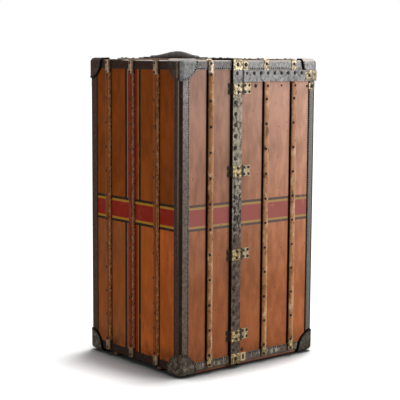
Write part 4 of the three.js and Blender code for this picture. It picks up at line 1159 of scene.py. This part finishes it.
class TRUNK_OT_strip_studs(bpy.types.Operator):
    """Set the large studs along the seam strip, the lid strip and the panel bolts"""
    bl_idname = "trunk.strip_studs"
    bl_label = "Strip studs"

    def execute(self, context):
        sizes = context.scene.trunk_sizes
        along = head_tree("strip_studs", 14, 8, along=True, rim=True)
        single = head_tree("single_studs", 14, 8, along=False, rim=True)
        stud = {"head_radius": sizes.stud_radius, "head_height": 0.0036, "size_spread": 0.07,
                "place_spread": 0.0006, "seed": 2, "material": finish("stud_iron")}
        seam_x, lid_z, panel_y = STRIP_X[1] - 0.0125, 1.0705, PANEL_Y - 0.0003
        seam = [line(normal, *[(seam_x, normal.y * STRIP_Y, z) for z in span])
                for normal, spans in ((HINGE_SIDE, HINGE_SIDE_SPANS), (LOCK_SIDE, LOCK_SIDE_SPANS))
                for span in spans]
        seam.append(line(UP, *[(seam_x, y, STRIP_TOP) for y in (-0.235, 0.235)]))
        grown("seam_strip_studs", seam, along, "drawer_half", spacing=sizes.stud_spacing, **stud)
        foot = spots(HINGE_SIDE, (seam_x - 0.001, STRIP_Y, 0.0705))
        grown("seam_strip_foot_stud", foot, single, "drawer_half", **stud)
        lid = [line(normal, *[(x, normal.y * LID_STRIP_Y, lid_z) for x in (0.026, -0.245)])
               for normal in (HINGE_SIDE, LOCK_SIDE)]
        lid.append(line(BACK, *[(LID_STRIP_X[0], y, lid_z) for y in (-0.235, 0.235)]))
        grown("lid_strip_studs", lid, along, "lid", spacing=0.0335, **{**stud, "head_radius": 0.0054})
        bolts, rivets = [], []
        on_slats = [(SLAT_X[name], PANEL_Y + slat_crown(0), 1.024) for name in ("second", "third")]
        for normal in (HINGE_SIDE, LOCK_SIDE):
            bolts += spots(normal, (-0.024, normal.y * panel_y, 1.025))
            places = [(-0.152, panel_y, 1.025), (-0.2835, panel_y, 1.021), *on_slats]
            rivets += spots(normal, *[(x, normal.y * y, z) for x, y, z in places])
        grown("rail_bolts", bolts, single, "hanging_half", **{**stud, "head_radius": 0.0066})
        grown("panel_rivets", rivets, single, "hanging_half", **{**stud, "head_radius": 0.0040})
        return {"FINISHED"}


class TRUNK_OT_hinge_screws(bpy.types.Operator):
    """Set the dark studs of the hinges, the hasp plates and the lock cases"""
    bl_idname = "trunk.hinge_screws"
    bl_label = "Hinge screws"

    def execute(self, context):
        tree = head_tree("hinge_screws", 12, 6, along=False)
        screw = {"head_radius": 0.0058, "head_height": 0.0028, "size_spread": 0.06,
                 "place_spread": 0.0003, "seed": 8, "material": finish("stud_iron")}
        small = {**screw, "head_radius": 0.0024, "head_height": 0.0012}
        pin_y, case_y = 0.2713, 0.2813
        strap, pin, lock = [], [], []
        for level in HINGE_Z:
            for z in (level - 0.0118, level + 0.0118):
                strap += spots(HINGE_SIDE, (0.071, LEAF_FACE_Y, z), (0.1022, pin_y, z))
                pin += spots(HINGE_SIDE, (0.0295, pin_y, z), (0.0090, pin_y, z))
        for key, level in HASP_Z.items():
            reach, half, ends_x = (0.008, 0.0165, (0.006, 0.039))
            if key == "lock":
                reach, half, ends_x = (0.011, 0.030, (-0.0055, 0.0385))
            strap += spots(LOCK_SIDE, *[(0.081, -LEAF_FACE_Y, level + rise) for rise in (-reach, reach)])
            lock += spots(LOCK_SIDE, *[(x, -case_y, level + rise) for x in ends_x for rise in (-half, half)])
        pin += spots(BACK, *[(-HALF_X, -0.155 + number * 0.0517, 1.0165) for number in range(7)])
        grown("strap_leaf_screws", strap, tree, "drawer_half", **screw)
        grown("pin_leaf_screws", pin, tree, "hanging_half", **screw)
        grown("lock_case_screws", lock, tree, "hanging_half", **small)
        keeper = spots(UP, *[(HANDLE_X + side * 0.0225, y, 1.1158)
                             for side in (-1, 1) for y in (-0.161, -0.151, 0.151, 0.161)])
        grown("keeper_screws", keeper, tree, "drawer_half", **small)
        return {"FINISHED"}


SHEET_GAP = 0.00005


def corner_wrap(face_y, top_z, radius, low, inward, thickness):
    """Profile in (y, z) of a thin clamp that wraps a rounded top edge on the +Y side."""
    centre = (face_y - radius, top_z - radius)

    def sheet_face(reach):
        curved = arc(centre, (reach, reach), 0, 1, 6)
        return [(centre[0] + reach, low), *curved, (inward, centre[1] + reach)]

    return sheet_face(radius + thickness) + sheet_face(radius + SHEET_GAP)[::-1]


class TRUNK_OT_clamps(bpy.types.Operator):
    """Make the small brass clamps of the strips and borders with their large studs"""
    bl_idname = "trunk.clamps"
    bl_label = "Clamps"

    def execute(self, context):
        thick = context.scene.trunk_sizes.clamp_thickness
        clamps = {"drawer_half": [], "lid": [], "hanging_half": []}
        studs = {body: [] for body in clamps}
        for normal in (HINGE_SIDE, LOCK_SIDE):
            side = normal.y

            def wrap(body, x_span, *profile):
                points = [(side * y, z) for y, z in corner_wrap(*profile, thick)]
                clamps[body].append(profile_bar(points, *x_span))

            def plate(body, x, y, z, *loops):
                place = (x, side * (y + SHEET_GAP), z)
                clamps[body].append(laid(sheet_plate(loops, thick), place, Vector((-side, 0, 0)), normal))

            def stud(body, x, y, z):
                studs[body] += spots(normal, (x, side * y, z))

            wrap("drawer_half", (0.0522, 0.0945), STRIP_Y, STRIP_TOP, 0.009, LID_STRIP_Z[1], 0.252)
            plate("drawer_half", 0.0732, STRIP_Y, 0.0362, rounded(0.0420, 0.038, 0.002))
            stud("drawer_half", 0.075, STRIP_Y + thick, 1.101)
            stud("drawer_half", 0.0755, STRIP_Y, 1.0705)
            stud("drawer_half", 0.073, STRIP_Y + thick, 0.036)
            wrap("lid", (0.0165, 0.0385), HALF_Y, HIGH_Z, 0.006, 1.0818, 0.246)
            round_end = [(min(x, 0.0305), z) for x, z in rounded(0.062, 0.0395, 0.0197, 8)]
            plate("lid", -0.2935, LID_STRIP_Y, 1.0605, round_end)
            stud("lid", 0.0275, HALF_Y + thick, 1.1005)
            stud("lid", -0.284, LID_STRIP_Y + thick, 1.0605)
            plate("hanging_half", -0.305, HALF_Y, 1.0205, rounded(0.029, 0.024, 0.0015))
            plate("hanging_half", 0.0272, HALF_Y, 0.0345,
                  rounded(0.026, 0.033, 0.0015), rounded(0.008, 0.019, 0.0038))
            stud("hanging_half", -0.306, HALF_Y + thick, 1.0205)
            stud("hanging_half", 0.030, PANEL_Y - 0.0002, 0.0620)
        names = {"drawer_half": "seam_strip_clamps", "lid": "lid_clamps",
                 "hanging_half": "hanging_half_clamps"}
        for body, meshes in clamps.items():
            carried(joined(names[body], meshes, finish("fitting_brass")), body)
        tree = head_tree("clamp_studs", 14, 8, along=False, rim=True)
        for body, runs in studs.items():
            grown(f"{body}_clamp_studs", runs, tree, body, head_radius=0.0058, head_height=0.003,
                  size_spread=0.05, seed=4, material=finish("stud_iron"))
        return {"FINISHED"}


def eased(share):
    """A share from 0 to 1 with soft ends."""
    share = min(1.0, max(0.0, share))
    return share * share * (3 - 2 * share)


def handle_line():
    """Places along the strap handle, from end to end: y, height, width and thickness."""
    base, half_length, peak_y, steps = 1.1142, 0.1775, 0.024, 72
    rows = []
    for i in range(steps + 1):
        y = -half_length + 2 * half_length * i / steps
        run_out = 0.156 if y < peak_y else 0.118
        rise = eased(1 - abs(y - peak_y) / run_out)
        shoulder = eased((0.144 - abs(y)) / 0.014) * (1 - rise)
        wave = 0.0007 * math.sin(y * 95) * (1 - rise)
        thick = 0.0048 + 0.0222 * rise ** 1.2 + 0.0096 * shoulder
        low = base + 0.0058 * rise + 0.0022 * shoulder
        width = 0.0245 - 0.003 * rise
        past_straight = abs(y) - 0.165
        if past_straight > 0:
            width *= math.sqrt(max(0.05, 1 - (past_straight / 0.0132) ** 2))
        rows.append((y, low + thick / 2 + abs(wave), width, thick))
    return rows


class TRUNK_OT_handle(bpy.types.Operator):
    """Make the leather handle, padded in the middle and stitched along its edges"""
    bl_idname = "trunk.handle"
    bl_label = "Handle"

    def execute(self, context):
        rows = handle_line()
        work = bmesh.new()
        sides = 16
        rings = []
        for index, (y, z, width, thick) in enumerate(rows):
            before = rows[max(0, index - 1)]
            after = rows[min(len(rows) - 1, index + 1)]
            slope = math.atan2(after[1] - before[1], after[0] - before[0])
            ring = []
            for c, s in arc((0, 0), (1, 1), 0, 4, sides)[:-1]:
                across = width / 2 * math.copysign(abs(c) ** 0.55, c)
                rise = thick / 2 * math.copysign(abs(s) ** 0.8, s)
                place = (HANDLE_X + across, y - rise * math.sin(slope), z + rise * math.cos(slope))
                ring.append(work.verts.new(place))
            rings.append(ring)
        for a, b in zip(rings, rings[1:]):
            for k in range(sides):
                work.faces.new((a[k - 1], a[k], b[k], b[k - 1]))
        work.faces.new(rings[0][::-1])
        work.faces.new(rings[-1])
        bmesh.ops.recalc_face_normals(work, faces=work.faces)
        mesh = poured(work, "strap_handle")
        mesh.shade_smooth()
        strap = new_object("strap_handle", mesh, finish("handle_leather"))
        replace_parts(carried(strap, "top_handle"), "top_handle")
        seams = [line(UP, *[(HANDLE_X + side * (width / 2 - 0.0042), y, z + thick / 2 - 0.0001)
                            for y, z, width, thick in rows[8:-8]]) for side in (-1, 1)]
        grown("handle_stitches", seams, head_tree("stitches", 6, 4, along=True), "top_handle", "leather",
              spacing=0.0058, head_radius=0.0015, head_height=0.0005, material=finish("linen_thread"))
        return {"FINISHED"}


class TRUNK_OT_lock_fittings(bpy.types.Operator):
    """Make the keyhole plate of the lock and the raised plates of the latches"""
    bl_idname = "trunk.lock_fittings"
    bl_label = "Lock fittings"

    def execute(self, context):
        brass = finish("fitting_brass")
        bow = arc((0, 0.0025), (0.0022, 0.0022), -0.6, 2.6, 12)
        keyhole = bow + [(-0.0016, -0.0056), (0.0016, -0.0056)]
        face = arc((0, 0), (0.0085, 0.0083), 0, 4, 28)[:-1]
        plate = sheet_plate([face, keyhole], 0.0012, 0.00025)
        laid(plate, (0.0165, -0.28185, 0.5417), FRONT, LOCK_SIDE)
        carried(joined("keyhole_plate", [plate], brass), "hanging_half")
        for key, level in HASP_Z.items():
            x, width, height = (0.0335, 0.030, 0.022) if key == "lock" else (0.034, 0.022, 0.015)
            raised = sheet_plate([rounded(width, height, 0.004)], 0.0011)
            sunk = 0.0002
            laid(raised, (x, HASP_FACE_Y + sunk, level), FRONT, LOCK_SIDE)
            carried(joined(f"{key}_hasp_boss", [raised], brass), f"{key}_hasp")
        return {"FINISHED"}


class TRUNK_OT_drawer_fittings(bpy.types.Operator):
    """Bind the drawer fronts with leather and tack the binding down"""
    bl_idname = "trunk.drawer_fittings"
    bl_label = "Drawer fittings"

    def execute(self, context):
        tree = head_tree("drawer_tacks", 8, 4, along=True)
        front, half, height = 0.0655, 0.2488, 0.1484
        width, gap, thickness = 0.009, 0.0002, 0.0010
        for index, drawer in enumerate(numbered("drawer", 5), 1):
            low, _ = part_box(drawer)
            bottom = low.z + 0.0006
            top = bottom + height
            upright = (bottom + width + gap, top - width - gap)
            bars = (((-half, half), (bottom, bottom + width)), ((-half, half), (top - width, top)),
                    ((-half, -half + width), upright), ((half - width, half), upright))
            strips = []
            for (y0, y1), (z0, z1) in bars:
                a, b = (y1 - y0) / 2, (z1 - z0) / 2
                strip = sheet_plate([((-a, -b), (a, -b), (a, b), (-a, b))], thickness)
                place = (front - SHEET_GAP, (y0 + y1) / 2, (z0 + z1) / 2)
                strips.append(laid(strip, place, LOCK_SIDE, BACK))
            carried(joined(f"{drawer}_binding", strips, finish("binding_leather")), drawer)
            x, y = front - thickness - SHEET_GAP, half - width / 2
            z0, z1 = bottom + width / 2, top - width / 2
            ring = ((x, -y, z0), (x, y, z0), (x, y, z1), (x, -y, z1), (x, -y, z0))
            runs = [line(BACK, *corners) for corners in zip(ring, ring[1:])]
            grown(f"{drawer}_tacks", runs, tree, drawer, spacing=0.017, head_radius=0.0021,
                  head_height=0.0011, seed=index, material=finish("fitting_brass"))
        return {"FINISHED"}


class TRUNK_OT_stage(bpy.types.Operator):
    """Lay the floor and set the studio light and the camera"""
    bl_idname = "trunk.stage"
    bl_label = "Stage"

    def execute(self, context):
        self.floor()
        self.world(context)
        self.lamps()
        self.camera(context)
        return {"FINISHED"}

    def floor(self):
        """A floor that looks white, and darker near the trunk."""
        work = bmesh.new()
        bmesh.ops.create_grid(work, x_segments=1, y_segments=1, size=30)
        mesh = poured(work, "floor")
        paint = Paint("floor_paper", Roughness=1.0, Specular_IOR_Level=0.0)
        seen = self.seen_rays(paint.tree)
        near = paint.add("ShaderNodeAmbientOcclusion", {"Distance": 0.25}, samples=8)
        open_floor = Field(paint, near.outputs["AO"]).stretch(0.36, 0.80)
        shadow = paint.mix(open_floor, (0.10, 0.10, 0.10), (0.95, 0.95, 0.95))
        feed(paint.tree, paint.shader.inputs["Base Color"], paint.mix(seen, (0.40, 0.40, 0.40), shadow))
        new_object("floor", mesh, paint.material)

    def seen_rays(self, tree):
        """1 for the rays that show a surface: straight to the camera, mirrored or through glass."""
        rays = added(tree, "ShaderNodeLightPath").outputs
        seen = rays["Is Camera Ray"]
        for kind in ("Is Glossy Ray", "Is Transmission Ray"):
            seen = added(tree, "ShaderNodeMath", {0: seen, 1: rays[kind]}, operation="MAXIMUM").outputs[0]
        return seen

    def world(self, context):
        """A white background that lights the trunk softly."""
        world = bpy.data.worlds.new("studio")
        context.scene.world = world
        world.use_nodes = True
        tree = world.node_tree
        tree.nodes.clear()
        soft, white = (added(tree, "ShaderNodeBackground", {"Color": (1, 1, 1), "Strength": strength})
                       for strength in (0.36, 1.0))
        choose = added(tree, "ShaderNodeMixShader", {
            0: self.seen_rays(tree), 1: soft.outputs[0], 2: white.outputs[0]})
        added(tree, "ShaderNodeOutputWorld", {0: choose.outputs[0]})

    def lamps(self):
        sun = bpy.data.lights.new("overhead", "SUN")
        sun.energy = 2.9
        sun.angle = math.radians(13)
        lamp = new_object("overhead", sun)
        lamp.rotation_euler = Vector((-0.17, -0.04, 0.98)).to_track_quat("Z", "Y").to_euler()
        self.lamp("side_box", (-1.3, 2.3, 1.5), (0, 0.27, 0.6), 1.6, 1.6, 42)
        self.lamp("front_box", (3.5, -0.8, 1.3), (0.32, 0, 0.5), 1.6, 2.0, 34)

    def lamp(self, name, place, target, width, height, power):
        light = bpy.data.lights.new(name, "AREA")
        light.shape = "RECTANGLE"
        light.size = width
        light.size_y = height
        light.energy = power
        lamp = new_object(name, light)
        lamp.location = place
        lamp.rotation_euler = (Vector(target) - Vector(place)).to_track_quat("-Z", "Y").to_euler()

    def camera(self, context):
        """The pinhole camera that was fitted to the photo."""
        yaw, pitch, roll = (math.radians(angle) for angle in (-129.652, -7.156, 0.332))
        forward = Vector((math.cos(yaw) * math.cos(pitch), math.sin(yaw) * math.cos(pitch), math.sin(pitch)))
        right = forward.cross(UP).normalized()
        up = right.cross(forward)
        turned = right * math.cos(roll) + up * math.sin(roll)
        above = up * math.cos(roll) - right * math.sin(roll)
        camera = bpy.data.cameras.new("photo_view")
        camera.lens = 104.21
        camera.sensor_width = 36
        camera.clip_end = 100
        eye = new_object("photo_view", camera)
        eye.matrix_world = (Matrix.Translation((2.8023, 3.3679, 1.1351))
                            @ Matrix((turned, above, -forward)).transposed().to_4x4())
        context.scene.camera = eye
        context.scene.view_settings.view_transform = "Standard"


class TRUNK_PT_panel(bpy.types.Panel):
    """Lists the pieces of the trunk's looks"""
    bl_idname = "TRUNK_PT_panel"
    bl_label = "Wardrobe trunk"
    bl_space_type = "VIEW_3D"
    bl_region_type = "UI"
    bl_category = "Trunk"

    def draw(self, context):
        layout = self.layout
        for name in TrunkSizes.__annotations__:
            layout.prop(context.scene.trunk_sizes, name)
        for name in TrunkColours.__annotations__:
            layout.prop(context.scene.trunk_colours, name)
        for operator in OPERATORS:
            layout.operator(operator.bl_idname)


OPERATORS = (TRUNK_OT_finishes, TRUNK_OT_border_tacks, TRUNK_OT_slat_nails, TRUNK_OT_strip_studs,
             TRUNK_OT_hinge_screws, TRUNK_OT_clamps, TRUNK_OT_handle, TRUNK_OT_lock_fittings,
             TRUNK_OT_drawer_fittings, TRUNK_OT_stage)
CLASSES = (TrunkSizes, TrunkColours, *OPERATORS, TRUNK_PT_panel)


def register():
    for entry in CLASSES:
        bpy.utils.register_class(entry)
    bpy.types.Scene.trunk_sizes = bpy.props.PointerProperty(type=TrunkSizes)
    bpy.types.Scene.trunk_colours = bpy.props.PointerProperty(type=TrunkColours)


def unregister():
    del bpy.types.Scene.trunk_colours
    del bpy.types.Scene.trunk_sizes
    for entry in reversed(CLASSES):
        bpy.utils.unregister_class(entry)


def main():
    register()
    for operator in OPERATORS:
        group, name = operator.bl_idname.split(".")
        getattr(getattr(bpy.ops, group), name)()


if __name__ == "__main__":
    main()
